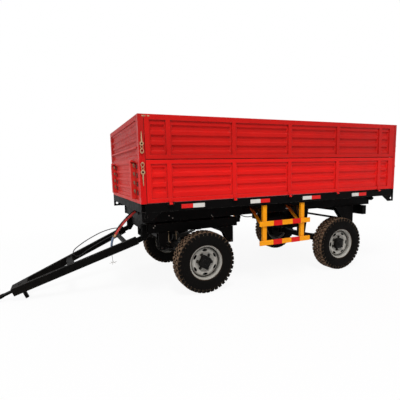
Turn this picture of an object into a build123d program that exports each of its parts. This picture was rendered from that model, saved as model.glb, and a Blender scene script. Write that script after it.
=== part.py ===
from build123d import *
import os
from math import atan2, cos, degrees, pi, radians, sin, tan

# Four-wheel farm dump trailer: turntable steering, drop-side body in two tiers, rear tipping.
# Millimetres. +X forwards to the hitch, +Y to the vehicle's left, +Z up, z = 0 on the ground.

# ---------------------------------------------------------------- driving dimensions
bed_length = 4076            # headboard's front face to tailgate's rear face
bed_width = 2027             # over the side boards
bed_top = 2206               # top of the upper boards
board_bottom = 1222          # lower edge of the lower boards
eye_reach = 1660             # headboard's front face to the tip of the hitch eye
latch_reach = 30             # how far the rear latches stand behind the tailgate
latch_plate = 8              # thickness of a latch's loop and lever
latch_block_offset = 150     # block's middle above or below the split of the boards
latch_block_length = 44
latch_block_width = 40
latch_loop_offset = 105      # loop that reaches over the split
latch_loop_length = 150
latch_loop_width = 34
latch_slot_offset = 102
latch_slot_length = 128
latch_slot_width = 20
latch_lever_offset = 218
latch_lever_length = 176
latch_lever_width = 14
bracket_drop = 90            # corner bracket below the side rail
bracket_foot = 115
bracket_slope_end = 240
bracket_hole_inset = 50
bracket_hole_radius = 20
bracket_thickness = 10

tyre_radius = 402.5
tyre_width = 215
wheel_sides = 20             # flats that stand for the round of tyre, rim and drum
lug_depth = 14
lug_length = 72
lug_width = 50
lug_inset = 4                # lugs' outer ends inside the tyre's faces
lug_root = 12                # lugs' depth inside the carcass
shoulder_inset = 10
sidewall_bulge = 78          # widest place outside the rim's lip
rim_radius = 203
rim_lip = 22
rim_half_width = 84
rim_wall = 8
bead_clearance = 0.3
disc_thickness = 8
disc_crown = 44              # crown's outer face beyond the wheel's middle
disc_crown_outer = 166
disc_crown_inner = 138
disc_flat = 106
hand_hole_circle = 172
hand_hole_radius = 17
hand_hole_count = 6
track = 1620
front_axle_setback = 834     # behind the headboard's front face
wheelbase = 2275

chassis_bottom = 940
chassis_rail_height = 125
chassis_rail_flange = 55
chassis_rail_wall = 8
chassis_half_width = 600     # over the webs of the long rails
chassis_front_setback = 100
chassis_rear_inset = 46      # ahead of the tailgate's rear face
front_member_inset = 40      # front cross member's middle behind the rails' front ends
member_flange = 50
tail_beam_inset = 283
tail_beam_width = 75
tail_beam_height = 145
tail_beam_overhang = 120     # beyond the rails, each side

bogie_rail_height = 115
bogie_front_setback = 165
bogie_length = 1285
turntable_height = 30
turntable_radius = 480
turntable_width = 60
turntable_flats = 36

axle_beam = 80
spindle_radius = 30
spindle_reach = 68           # beyond the wheel's middle
hub_radius = 72
hub_flange = 100
hub_barrel = 35              # hub's barrel and cap beyond the wheel's middle
hub_cap = 84
drum_radius = 150
drum_depth = 90
drum_face = 15
brake_plate = 6
chamber_offset = 140         # brake chamber behind or ahead of the axle
chamber_radius = 55
chamber_length = 75
brake_setback = 112          # backing plate inboard of the wheel's middle
running_clearance = 0.05

spring_eye_drop = 195        # spring eye's axis below the bogie's rails
spring_half_span = 500
spring_leaf = 10
spring_leaf_count = 7
spring_width = 75
spring_y = 572.5
spring_eye_radius = 24
pin_radius = 12
hanger_cheek = 8
hanger_gap = 3
hanger_foot = 30             # cheeks below the eye
front_gusset = 206           # slanted gusset ahead of the eye, bogie and chassis
rear_gusset = 340
hanger_tube_rise = 130

drawbar_slope = 20.95        # degrees down to the nose, standing on its leg
drawbar_hinge_setback = 130
drawbar_hinge_z = 730
drawbar_hinge_y = 475
drawbar_nose_y = 72
drawbar_beam_depth = 100
drawbar_beam_width = 50
drawbar_knuckle = 92         # straight stretch of each beam at its hinge
knuckle_radius = 32
drawbar_cheek = 12
nose_block = 200
spreader_depth = 70
front_spreader = 220         # cross members of the drawbar, along it from the hinge
front_spreader_width = 44
rear_spreader = 955
rear_spreader_width = 78
eye_hole_radius = 25
eye_bar = 30
leg_width = 40
leg_clearance = 0.5
leg_offset = 1600            # along the drawbar from its hinge
leg_stub = 55                # leg above the drawbar's middle plane

board_depth = 45
board_skin = 4
board_edge_gap = 5
board_split_z = 1712
board_split_gap = 9
board_rail = 46              # folded rail along each board's upper and lower edge
sheet_recess = 14            # pressed sheet behind the faces of ribs and rails
post_front_depth = 66
post_rear_depth = 46
post_width = 60
rib_width = 55
rib_first = 274              # first rib's middle behind the board's front end
rib_last = 296               # last rib's middle ahead of the board's rear end
rib_count = 5
gate_rib_pitch = 620
groove_margin = 12
end_stile_front = 57
end_stile_rear = 100
gate_stile = 40
crown_rail = 60              # folded rail along the bed's top edge
head_post_inset = 232        # headboard's channel posts from its ends
head_post_width = 78
head_post_proud = 40         # channel posts ahead of the headboard's face
head_band = 56               # rail between the headboard's tiers
head_lower_row = 1330        # heights of the headboard's lowest grooves, in each tier
head_upper_row = 1800
head_lower_pitch = 103
head_upper_pitch = 95
head_rows = 4                # grooves in each of its tiers
groove_height = 72
groove_pitch = 112
groove_depth = 16
groove_taper = 40
lower_first_groove = 146     # first groove's middle above the board's lower edge
upper_first_groove = 122
board_hinge_out = 16         # hinge axis outside the board's face
board_hinge_drop = 18        # hinge axis below the lower board's edge
board_hinge_pin = 6
board_hinge_barrel = 12
board_hinge_length = 36
pin_flats = 8                # flats that stand for the round of the boards' pins
top_pin_radius = 8
top_pin_drop = 14            # top pins below the bed's top edge
top_pin_inset = 22           # and in from the outer face
top_pin_length = 25

floor_thickness = 4
floor_gap = 7                # lower boards above the floor
floor_notch_gap = 3          # floor plate clear of the corner posts
side_rail_height = 100
side_rail_flange = 45
side_rail_inset = 4
sub_rail_height = 85
bearer_count = 7
bearer_flange = 50
bearing_gap = 0.5
tip_hinge_inset = 12         # ahead of the tailgate's rear face
tip_hinge_z = 1040
tip_pin_radius = 22
tip_lug_rim = 14

cylinder_foot_setback = 2480
cylinder_foot_z = 760
cylinder_head_setback = 1950
cylinder_head_z = 1138
cylinder_radius = 62
cylinder_wall = 9
cylinder_stages = 3
cylinder_pin_radius = 16
cylinder_flats = 24
stage_step = 11              # each stage's radius less than the one before

guard_front_setback = 1573   # front end of the guard's rails
guard_length = 837
guard_inset = 28.5           # guard's posts inside the bed's side
guard_post = 60
guard_post_depth = 40
guard_post_front = 88        # posts' middles behind the rails' front end
guard_post_rear = 715
guard_rail_height = 66
guard_rail_thickness = 16
guard_bottom = 557
guard_upper_rail = 817
guard_arm_rise = 90          # arms that carry the guards, above the chassis rails' lower edge
guard_arm = 30
guard_brace_inner = 850      # upper ends of the slanted braces
guard_brace_deep = 35
guard_top = 1098

red_hose_diameter = 40
grey_hose_diameter = 30
wire_diameter = 5
cable_diameter = 13
gland_wall = 6
gland_length = 34
hose_plate_width = 60
hose_plate_thickness = 8
hose_plate_drop = 70         # hose plate below and above the hose's middle
hose_plate_rise = 24
cord_arc_share = 0.45        # of the shorter run beside a corner
cord_flats = 8
# routes of the cords at rest, chosen by hand
red_hose_route = (
    (1148, 300, 1059), (1225, 300, 1003), (1318, 300, 912), (1388, 300, 828), (1440, 300, 748),
)
grey_hose_route = (
    (1440, 300, 748), (1455.6, 300, 724), (1469, 300, 688), (1477, 300, 646), (1480, 300, 598),
    (1480.5, 300, 552),
)
wire_route = (
    (1480.5, 300, 551.7), (1481, 300, 510), (1477, 300, 458), (1472, 300, 410),
)
cable_route = (
    (1275, -432, 735), (1335, -414, 742), (1438, -388, 727), (1539, -362, 704), (1680, -326, 647),
    (1792, -298, 593), (1874, -276, 543), (1922, -262, 508), (1944, -232, 470), (1926, -212, 432),
    (1872, -218, 416), (1806, -244, 446), (1700, -278, 506), (1560, -314, 566), (1430, -346, 618),
    (1345, -366, 650),
)

# ---------------------------------------------------------------- places that follow
bed_front_x = (bed_length + latch_reach - eye_reach) / 2
bed_rear_x = bed_front_x - bed_length
half_bed = bed_width / 2
front_axle_x = bed_front_x - front_axle_setback
rear_axle_x = front_axle_x - wheelbase
chassis_top = chassis_bottom + chassis_rail_height
bogie_top = chassis_bottom - turntable_height
bogie_bottom = bogie_top - bogie_rail_height
bogie_front_x = bed_front_x - bogie_front_setback
bogie_rear_x = bogie_front_x - bogie_length
chassis_front_x = bed_front_x - chassis_front_setback
chassis_rear_x = bed_rear_x + chassis_rear_inset
floor_top = board_bottom - floor_gap
floor_bottom = floor_top - floor_thickness
side_rail_bottom = floor_top - side_rail_height
side_rail_inner = half_bed - side_rail_inset - side_rail_flange
sub_rail_bottom = chassis_top + bearing_gap
bearer_bottom = sub_rail_bottom + sub_rail_height
tip_x = bed_rear_x + tip_hinge_inset
eye_z = bogie_bottom - spring_eye_drop
spindle_bore = spindle_radius + running_clearance

hinge_x = bed_front_x - drawbar_hinge_setback
slope = radians(drawbar_slope)
eye_outer = eye_hole_radius + eye_bar
drawbar_length = (bed_front_x + eye_reach - hinge_x - eye_bar / 2 * sin(slope)) / cos(slope)
eye_centre = drawbar_length - eye_outer
nose = drawbar_length - 2 * eye_outer - 95
drawbar_plane = Plane(
    origin=(hinge_x, 0, drawbar_hinge_z),
    x_dir=(cos(slope), 0, -sin(slope)),
    z_dir=(sin(slope), 0, cos(slope)),
)
leg_drop = (drawbar_hinge_z - (leg_offset + leg_width / 2) * sin(slope)) / cos(slope)

foot = Vector(bed_front_x - cylinder_foot_setback, 0, cylinder_foot_z)
head = Vector(bed_front_x - cylinder_head_setback, 0, cylinder_head_z)
cylinder_axis = (head - foot).normalized()
closed_length = (head - foot).length

side_board_front_x = bed_front_x - post_front_depth - board_edge_gap
side_board_length = bed_length - post_front_depth - post_rear_depth - 2 * board_edge_gap
rib_pitch = (side_board_length - rib_first - rib_last) / (rib_count - 1)
side_ribs = [rib_first + index * rib_pitch for index in range(rib_count)]
gate_width = bed_width - 2 * (post_width + board_edge_gap)
gate_ribs = [index * gate_rib_pitch for index in (-1, 0, 1)]
lower_top = board_split_z - board_split_gap / 2
upper_bottom = board_split_z + board_split_gap / 2
guard_y = half_bed - guard_inset
sides = {"left": 1, "right": -1}


# ---------------------------------------------------------------- shared forms
def save(part, label):
    """Names a finished piece and writes its STEP file."""
    part.label = label
    export_step(part, f"parts/{label}.step")


def across(x, z, y=0, side=1):
    """Sketch plane that faces sideways: its x is the vehicle's, its y is up."""
    if side > 0:
        return Plane(origin=(x, y, z), x_dir=(1, 0, 0), z_dir=(0, -1, 0))
    return Plane(origin=(x, y, z), x_dir=(-1, 0, 0), z_dir=(0, 1, 0))


def frustums(stations, sides=wheel_sides):
    """Solid turned about Y in plane flats, through stations of (place along Y, radius to the flats)."""
    half_flat = pi / sides
    rings = []
    for along, radius in stations:
        corner = radius / cos(half_flat)
        turns = [half_flat * (2 * index + 1) for index in range(sides)]
        rings.append([Vector(corner * cos(turn), along, corner * sin(turn)) for turn in turns])
    flats = [
        Face(Wire.make_polygon([ring[index - 1], ring[index], following[index], following[index - 1]]))
        for ring, following in zip(rings, rings[1:])
        for index in range(sides)
    ]
    ends = [Face(Wire.make_polygon(ring)) for ring in (rings[0], rings[-1])]
    return Solid(Shell(flats + ends))


def channel_rail(x_from, x_to, web_y, side, bottom, height, flange, wall):
    """Long C-channel along X, its web outwards at web_y and open to the middle."""
    with BuildPart() as rail:
        with BuildSketch(Plane(origin=(x_from, side * web_y, bottom), x_dir=(0, 1, 0), z_dir=(1, 0, 0))):
            with Locations((-side * flange / 2, height / 2)):
                Rectangle(flange, height)
            with Locations((-side * (flange / 2 + wall), height / 2)):
                Rectangle(flange, height - 2 * wall, mode=Mode.SUBTRACT)
        extrude(amount=x_to - x_from)
    return rail.part


def cross_channel(x, half_y, bottom, height, flange, wall, way=1):
    """C-channel across the frame about x, its web on the side that way points to."""
    with BuildPart() as member:
        with BuildSketch(across(x, bottom)):
            with Locations((0, height / 2)):
                Rectangle(flange, height)
            with Locations((-way * wall, height / 2)):
                Rectangle(flange, height - 2 * wall, mode=Mode.SUBTRACT)
        extrude(amount=half_y, both=True)
    return member.part


def gland(end, inner, diameter):
    """Stub tube that a cord comes out of at end, running back from its next point inner."""
    into = (Vector(*end) - Vector(*inner)).normalized()
    with BuildPart() as stub:
        with BuildSketch(Plane(origin=end, z_dir=into)):
            RegularPolygon(diameter / 2 + gland_wall, cord_flats)
        extrude(amount=gland_length)
    return stub.part


def make_cord(label, diameter, route):
    """Cord along its route, each arc as large as the runs beside it allow."""
    radii = []
    for before, corner, after in zip(route, route[1:], route[2:]):
        back = Vector(*corner) - Vector(*before)
        ahead = Vector(*after) - Vector(*corner)
        half_turn = radians(back.get_angle(ahead) / 2)
        radii.append(cord_arc_share * min(back.length, ahead.length) / tan(half_turn))
    with BuildPart() as cord:
        with BuildLine() as path:
            FilletPolyline(*route, radius=radii)
        with BuildSketch(Plane(origin=path.line @ 0, z_dir=path.line % 0)) as section:
            RegularPolygon(diameter / 2, cord_flats)
        sweep()
    length = path.wires()[0].length
    expected = section.sketch.area * length
    print(label, "radii", [round(radius) for radius in radii], "length", round(length))
    print(label, "volume", round(cord.part.volume), "section by length", round(expected))
    save(cord.part, label)


# ---------------------------------------------------------------- wheels
def tyre_form():
    """Tyre about its own middle: carcass in flats with two rows of shoulder lugs."""
    half = tyre_width / 2
    shoulder = tyre_radius - lug_depth
    bead = rim_radius + bead_clearance
    over_lip = rim_radius + rim_lip + bead_clearance
    seat = rim_half_width - rim_wall - bead_clearance
    carcass = frustums(
        [
            (2 - rim_half_width, over_lip + 6),
            (-half, over_lip + sidewall_bulge),
            (shoulder_inset - half, shoulder),
            (half - shoulder_inset, shoulder),
            (half, over_lip + sidewall_bulge),
            (rim_half_width - 2, over_lip + 6),
        ]
    )
    bore = frustums(
        [(-half, over_lip), (-seat, over_lip), (1 - seat, bead), (seat - 1, bead), (seat, over_lip),
         (half, over_lip)]
    )
    pitch = 360 / wheel_sides
    lug_height = lug_depth + lug_root
    with BuildPart() as tyre:
        add(carcass)
        for row, turn in ((-1, 0), (1, pitch / 2)):
            start = lug_inset - half if row < 0 else half - lug_inset - lug_length
            with BuildSketch(Plane(origin=(0, start, 0), x_dir=(1, 0, 0), z_dir=(0, 1, 0))):
                with PolarLocations(tyre_radius - lug_height / 2, wheel_sides, start_angle=90 + turn):
                    Rectangle(lug_height, lug_width)
            extrude(amount=lug_length)
        add(bore, mode=Mode.SUBTRACT)
    return tyre.part


def disc_form():
    """Wheel disc, open to the hub: a crown between the rim and a sunken flat."""
    edge = rim_radius - rim_wall + 1
    with BuildPart() as dish:
        add(frustums([(0, edge), (disc_crown, disc_crown_outer)]))
        add(frustums([(disc_thickness, disc_flat), (disc_crown + 1, disc_crown_inner)]), mode=Mode.SUBTRACT)
    with BuildPart() as disc:
        add(dish.part)
        add(dish.part.moved(Location((0, -disc_thickness, 0))), mode=Mode.SUBTRACT)
        add(frustums([(-1, hub_radius + 1), (disc_thickness + 1, hub_radius + 1)]), mode=Mode.SUBTRACT)
    return disc.part


def rim_form():
    """Rim about its own middle, outer side towards +Y: barrel with lips, dished disc, hand holes."""
    lip = rim_radius + rim_lip
    seat = rim_half_width - rim_wall
    barrel = frustums(
        [
            (-rim_half_width, lip),
            (-seat, lip),
            (1 - seat, rim_radius),
            (seat - 1, rim_radius),
            (seat, lip),
            (rim_half_width, lip),
        ]
    )
    hollow = frustums(
        [
            (-rim_half_width, lip - rim_wall),
            (-seat, rim_radius - rim_wall),
            (seat, rim_radius - rim_wall),
            (rim_half_width, lip - rim_wall),
        ]
    )
    with BuildPart() as rim:
        add(barrel)
        add(hollow, mode=Mode.SUBTRACT)
        add(disc_form())
        with BuildSketch(Plane(origin=(0, 0, 0), x_dir=(1, 0, 0), z_dir=(0, 1, 0))):
            with PolarLocations(hand_hole_circle, hand_hole_count):
                RegularPolygon(hand_hole_radius, 8, rotation=22.5)
        extrude(amount=rim_half_width, mode=Mode.SUBTRACT)
    return rim.part


def hub_form():
    """Hub about the wheel's middle, outer side towards +Y: brake drum, barrel and cap."""
    flange = -running_clearance
    drum = frustums([
        (-drum_face - drum_depth, drum_radius), (-drum_face, drum_radius), (flange, hub_flange),
    ])
    barrel = frustums([
        (flange - 5, hub_radius), (hub_barrel, hub_radius), (hub_cap - 22, 56), (hub_cap, 40),
    ])
    bore_end = spindle_reach + 4
    with BuildPart() as hub:
        add(drum)
        add(barrel)
        add(
            frustums([(-drum_face - drum_depth, spindle_bore), (bore_end, spindle_bore)], 12),
            mode=Mode.SUBTRACT,
        )
    return hub.part


def place_wheels():
    """Tyre, rim and hub of each wheel, turned so that the discs face outwards."""
    forms = {"tyre": tyre_form(), "rim": rim_form(), "hub": hub_form()}
    for end_name, x in (("front", front_axle_x), ("rear", rear_axle_x)):
        for side_name, side in sides.items():
            place = Location((x, side * track / 2, tyre_radius), (0, 0, 0 if side > 0 else 180))
            for form_name, form in forms.items():
                save(form.moved(place), f"{form_name}_{end_name}_{side_name}")


# ---------------------------------------------------------------- axles and springs
def make_axle(label, x):
    """Square axle beam with a round spindle at each end."""
    with BuildPart() as axle:
        with BuildSketch(across(x, tyre_radius)):
            Rectangle(axle_beam, axle_beam)
        extrude(amount=track / 2 - brake_setback, both=True)
        with BuildSketch(across(x, tyre_radius)):
            Circle(spindle_radius)
        extrude(amount=track / 2 + spindle_reach, both=True)
    save(axle.part, label)


def make_brakes(label, x):
    """Backing plate round each end of the axle beam, with the brake chamber behind it."""
    with BuildPart() as brakes:
        for side in sides.values():
            y = side * (track / 2 - brake_setback)
            with BuildSketch(across(x, tyre_radius, y)):
                RegularPolygon(drum_radius + 5, wheel_sides, major_radius=False)
                Rectangle(axle_beam, axle_beam, mode=Mode.SUBTRACT)
            extrude(amount=side * brake_plate)
            with BuildSketch(across(x + chamber_offset, tyre_radius + 30, y)):
                RegularPolygon(chamber_radius, 12)
            extrude(amount=side * chamber_length)
    save(brakes.part, label)


def make_springs(label, x):
    """Leaf pack on each side of an axle, eye to eye, seated on the beam."""
    seat_z = tyre_radius + axle_beam / 2
    pack = spring_leaf * spring_leaf_count
    camber = eye_z - seat_z - pack
    radius = (spring_half_span**2 + camber**2) / (2 * camber)
    centre_z = eye_z - camber + radius
    half_angle = degrees(spring_half_span / radius)
    with BuildPart() as springs:
        for side in sides.values():
            with BuildSketch(across(x, centre_z, side * spring_y)):
                for leaf in range(spring_leaf_count):
                    upper = radius + leaf * spring_leaf
                    half_turn = half_angle * (1 - leaf / (spring_leaf_count + 1))
                    with BuildLine():
                        outer = CenterArc((0, 0), upper + spring_leaf, -90 - half_turn, 2 * half_turn)
                        inner = CenterArc((0, 0), upper, -90 - half_turn, 2 * half_turn)
                        Line(outer @ 0, inner @ 0)
                        Line(outer @ 1, inner @ 1)
                    make_face()
            extrude(amount=spring_width / 2, both=True)
            for end in (1, -1):
                with BuildSketch(across(x + end * spring_half_span, eye_z, side * spring_y)):
                    RegularPolygon(spring_eye_radius, 12, major_radius=False)
                extrude(amount=spring_width / 2, both=True)
                with BuildSketch(across(x + end * spring_half_span, eye_z, side * spring_y)):
                    RegularPolygon(pin_radius + running_clearance, 8, major_radius=False)
                extrude(amount=spring_width / 2, both=True, mode=Mode.SUBTRACT)
    save(springs.part, label)


def make_hangers(label, x, rail_z, gusset_reach):
    """Cheek plates that hold the spring eyes, each pair with its pin and its plate under the rail.
    The rear pairs have a gusset that slants up to the rail, gusset_reach ahead of the eye."""
    gap = spring_width / 2 + hanger_gap
    lower = eye_z - hanger_foot
    knee = gusset_reach * 0.45
    front_outline = [(-40, lower), (40, lower), (40, rail_z), (-100, rail_z)]
    rear_outline = [(-40, lower), (40, lower), (knee, eye_z + 100), (gusset_reach, rail_z), (-40, rail_z)]
    with BuildPart() as hangers:
        for side in sides.values():
            for end, outline in ((1, front_outline), (-1, rear_outline)):
                eye_x = x + end * spring_half_span
                for face in (1, -1):
                    y = side * spring_y + face * (gap + hanger_cheek / 2)
                    with BuildSketch(across(eye_x, 0, y)):
                        with BuildLine():
                            Polyline(*outline, close=True)
                        make_face()
                    extrude(amount=hanger_cheek / 2, both=True)
                ends = [point[0] for point in outline[2:] if point[1] == rail_z]
                with Locations((eye_x + sum(ends) / 2, side * spring_y, rail_z - hanger_cheek / 2)):
                    Box(abs(ends[0] - ends[1]), 2 * (gap + hanger_cheek), hanger_cheek)
                with BuildSketch(across(eye_x, eye_z, side * spring_y)):
                    RegularPolygon(pin_radius, 8, major_radius=False)
                extrude(amount=gap + hanger_cheek + 8, both=True)
    save(hangers.part, label)


def hanger_tube(x, gusset_reach):
    """Tube between the left and the right rear hangers of an axle."""
    half = spring_y - spring_width / 2 - hanger_gap - hanger_cheek
    with BuildPart() as tube:
        with BuildSketch(across(x - spring_half_span + gusset_reach * 0.42, eye_z + hanger_tube_rise)):
            RegularPolygon(18, 12)
        extrude(amount=half, both=True)
    return tube.part


# ---------------------------------------------------------------- chassis
def tip_lug(side):
    """Lug at the rear of a long rail that carries the tipping hinge's tube."""
    with BuildPart() as lug:
        with BuildSketch(across(tip_x, tip_hinge_z, side * (chassis_half_width - 27))):
            Circle(tip_pin_radius + tip_lug_rim)
            with Locations((45, 0)):
                Rectangle(90, 2 * (tip_pin_radius + 2))
            Circle(tip_pin_radius + running_clearance, mode=Mode.SUBTRACT)
        extrude(amount=20, both=True)
    return lug.part


def make_chassis():
    """Two long channels with the tipping hinge's lugs, and what crosses between and under them."""
    rails = [
        channel_rail(
            chassis_rear_x, chassis_front_x, chassis_half_width, side,
            chassis_bottom, chassis_rail_height, chassis_rail_flange, chassis_rail_wall,
        )
        for side in sides.values()
    ]
    with BuildPart() as rail_pair:
        add(rails)
        add([tip_lug(side) for side in sides.values()])
        with BuildSketch(across(tip_x, tip_hinge_z)):
            Circle(tip_pin_radius + running_clearance)
        extrude(amount=chassis_half_width + 10, both=True, mode=Mode.SUBTRACT)
    save(rail_pair.part, "chassis_rails")

    half_member = chassis_half_width - chassis_rail_flange
    places = (
        chassis_front_x - front_member_inset,
        front_axle_x + turntable_radius * 0.6,
        front_axle_x - turntable_radius * 0.6,
        (front_axle_x + rear_axle_x) / 2 + 150,
        rear_axle_x + spring_half_span,
        rear_axle_x - spring_half_span,
        chassis_rear_x + 120,
    )
    with BuildPart() as members:
        for x in places:
            add(cross_channel(x, half_member, chassis_bottom, chassis_rail_height, member_flange, 6))
        with Locations((bed_rear_x + tail_beam_inset, 0, chassis_bottom - tail_beam_height / 2)):
            Box(tail_beam_width, 2 * (chassis_half_width + tail_beam_overhang), tail_beam_height)
        add(hanger_tube(rear_axle_x, rear_gusset))
        with BuildSketch(across(tip_x, tip_hinge_z)):
            Circle(tip_pin_radius)
        extrude(amount=chassis_half_width + 45, both=True)
        add(hose_plate())
    save(members.part, "chassis_cross_members")


def hose_plate():
    """Plate on the front cross member that carries the red hose's gland."""
    end = Vector(*red_hose_route[0])
    into = (end - Vector(*red_hose_route[1])).normalized()
    plate_x = chassis_front_x - front_member_inset + member_flange / 2
    centre = end + into * (end.X - plate_x - hose_plate_thickness / 2) / -into.X
    with BuildPart() as plate:
        with Locations(
            (plate_x + hose_plate_thickness / 2, end.Y, centre.Z + (hose_plate_rise - hose_plate_drop) / 2)
        ):
            Box(hose_plate_thickness, hose_plate_width, hose_plate_rise + hose_plate_drop)
        add(gland(red_hose_route[0], red_hose_route[1], red_hose_diameter))
    return plate.part


def make_ring(label, bottom, height):
    """One ring of the turntable."""
    with BuildPart() as ring:
        with BuildSketch(Plane(origin=(front_axle_x, 0, bottom))):
            RegularPolygon(turntable_radius, turntable_flats)
            RegularPolygon(turntable_radius - turntable_width, turntable_flats, mode=Mode.SUBTRACT)
        extrude(amount=height)
    save(ring.part, label)


def make_guards():
    """On each side two posts and two rails between the axles, braced up to the chassis."""
    front = bed_front_x - guard_front_setback
    arm_z = chassis_bottom + guard_arm_rise
    with BuildPart() as guards:
        for side in sides.values():
            inner_y = guard_y - guard_post_depth
            for setback in (guard_post_front, guard_post_rear):
                x = front - setback
                with Locations((x, side * (guard_y - guard_post_depth / 2), (guard_bottom + guard_top) / 2)):
                    Box(guard_post, guard_post_depth, guard_top - guard_bottom)
                with BuildSketch(Plane(origin=(x, 0, 0), x_dir=(0, side, 0), z_dir=(side, 0, 0))):
                    with BuildLine():
                        Polyline(
                            (inner_y, guard_upper_rail),
                            (inner_y, guard_upper_rail + guard_brace_deep),
                            (guard_brace_inner + guard_brace_deep, arm_z),
                            (guard_brace_inner, arm_z),
                            close=True,
                        )
                    make_face()
                extrude(amount=guard_arm / 2, both=True)
                with Locations((x, side * (chassis_half_width + inner_y) / 2, arm_z)):
                    Box(guard_arm, inner_y - chassis_half_width, guard_arm)
            for z in (guard_bottom, guard_upper_rail):
                middle = (front - guard_length / 2, side * (guard_y + guard_rail_thickness / 2))
                with Locations((*middle, z + guard_rail_height / 2)):
                    Box(guard_length, guard_rail_thickness, guard_rail_height)
    save(guards.part, "side_guards")


def make_cylinder_cradle():
    """Cross tube hung from the chassis that carries the tipping cylinder's foot."""
    plate_y = chassis_half_width - chassis_rail_flange / 2
    with BuildPart() as cradle:
        for side in sides.values():
            with Locations((foot.X, side * plate_y, (chassis_bottom + foot.Z - 90) / 2)):
                Box(90, 12, chassis_bottom - foot.Z + 90)
            with Locations((foot.X, side * (plate_y + 85) / 2, foot.Z - 60)):
                Box(60, plate_y - 85, 60)
            with BuildSketch(across(foot.X, foot.Z, side * 90)):
                RegularPolygon(cylinder_pin_radius + 18, 12)
                with Locations((0, -50)):
                    Rectangle(60, 90)
            extrude(amount=9, both=True)
        with BuildSketch(across(foot.X, foot.Z)):
            Circle(cylinder_pin_radius)
        extrude(amount=99, both=True)
        with Locations((foot.X, 0, foot.Z - 85)):
            Box(60, 220, 14)
    save(cradle.part, "cylinder_cradle")


# ---------------------------------------------------------------- steering bogie
def drawbar_lug(side, face):
    """Cheek plate under a bogie rail, beside one drawbar knuckle."""
    y = side * drawbar_hinge_y + face * (drawbar_beam_width / 2 + hanger_gap + drawbar_cheek / 2)
    rail = bogie_top - drawbar_hinge_z - 10
    with BuildPart() as lug:
        with BuildSketch(across(hinge_x, drawbar_hinge_z, y)):
            RegularPolygon(38, 12)
            with BuildLine():
                Polyline(
                    (-30, -23), (24, 29), (24, rail), (-85, rail), (-85, bogie_bottom - drawbar_hinge_z),
                    close=True,
                )
            make_face()
        extrude(amount=drawbar_cheek / 2, both=True)
    return lug.part


def make_bogie():
    """Turntable frame: rails with the drawbar's lugs and pins, and the cross members."""
    rails = [
        channel_rail(
            bogie_rear_x, bogie_front_x, chassis_half_width, side,
            bogie_bottom, bogie_rail_height, chassis_rail_flange, chassis_rail_wall,
        )
        for side in sides.values()
    ]
    half_member = chassis_half_width - chassis_rail_flange
    places = (
        front_axle_x + turntable_radius * 0.6,
        front_axle_x - turntable_radius * 0.6,
        bogie_rear_x + 26,
    )
    with BuildPart() as rail_pair:
        add(rails)
    save(rail_pair.part, "bogie_rails")
    with BuildPart() as members:
        for x in places:
            add(cross_channel(x, half_member, bogie_bottom, bogie_rail_height, 52, 6))
        add(cross_channel(bogie_front_x - 26, half_member, bogie_bottom, bogie_rail_height, 52, 6))
        for side in sides.values():
            for face in (1, -1):
                add(drawbar_lug(side, face))
            with BuildSketch(across(hinge_x, drawbar_hinge_z, side * drawbar_hinge_y)):
                Circle(pin_radius)
            extrude(amount=drawbar_beam_width / 2 + 24, both=True)
        add(hanger_tube(front_axle_x, front_gusset))
    save(members.part, "bogie_cross_members")


# ---------------------------------------------------------------- drawbar
def beam_y(along):
    """Distance of a drawbar beam's middle from the centre line."""
    return drawbar_hinge_y + (drawbar_nose_y - drawbar_hinge_y) * along / nose


def make_drawbar():
    """Two beams that meet at the nose, their hinge knuckles, spreaders and the leg's sleeve."""
    wide = drawbar_beam_width / 2
    start = drawbar_knuckle - 8
    with BuildPart() as drawbar:
        with BuildSketch(drawbar_plane):
            for side in sides.values():
                with BuildLine():
                    Polyline(
                        (start, side * (beam_y(start) - wide)),
                        (start, side * (beam_y(start) + wide)),
                        (nose, side * (beam_y(nose) + wide)),
                        (nose, side * (beam_y(nose) - wide)),
                        close=True,
                    )
                make_face()
            with Locations((nose - nose_block / 2, 0)):
                Rectangle(nose_block, 2 * beam_y(nose - nose_block / 2))
            with Locations((leg_offset, 0)):
                Rectangle(leg_width + 24, leg_width + 24)
        extrude(amount=drawbar_beam_depth / 2, both=True)
        with BuildSketch(drawbar_plane):
            spreaders = ((front_spreader, front_spreader_width), (rear_spreader, rear_spreader_width))
            for place, width in spreaders:
                with Locations((place, 0)):
                    Rectangle(width, 2 * beam_y(place))
        extrude(amount=spreader_depth / 2, both=True)
        for side in sides.values():
            knuckle = Plane(
                origin=(hinge_x, side * drawbar_hinge_y, drawbar_hinge_z),
                x_dir=drawbar_plane.x_dir,
                z_dir=(0, -1, 0),
            )
            with BuildSketch(knuckle):
                RegularPolygon(knuckle_radius, 16)
                with Locations((drawbar_knuckle / 2, 0)):
                    Rectangle(drawbar_knuckle, 2 * knuckle_radius)
            extrude(amount=wide, both=True)
            with BuildSketch(knuckle):
                Circle(pin_radius + running_clearance)
            extrude(amount=wide + 10, both=True, mode=Mode.SUBTRACT)
        with BuildSketch(drawbar_plane):
            with Locations((leg_offset, 0)):
                Rectangle(leg_width + 2 * leg_clearance, leg_width + 2 * leg_clearance)
        extrude(amount=drawbar_beam_depth, both=True, mode=Mode.SUBTRACT)
        add(gland(cable_route[0], cable_route[1], cable_diameter))
        add(gland(cable_route[-1], cable_route[-2], cable_diameter))
    save(drawbar.part, "drawbar_frame")


def make_eye():
    """Ring eye with its shank into the nose."""
    with BuildPart() as eye:
        with BuildSketch(drawbar_plane):
            with Locations((eye_centre, 0)):
                Circle(eye_outer)
            with Locations(((nose + eye_centre) / 2, 0)):
                Rectangle(eye_centre - nose, 2 * eye_bar)
            with Locations((eye_centre, 0)):
                Circle(eye_hole_radius, mode=Mode.SUBTRACT)
        extrude(amount=eye_bar / 2, both=True)
    save(eye.part, "hitch_eye")


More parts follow.
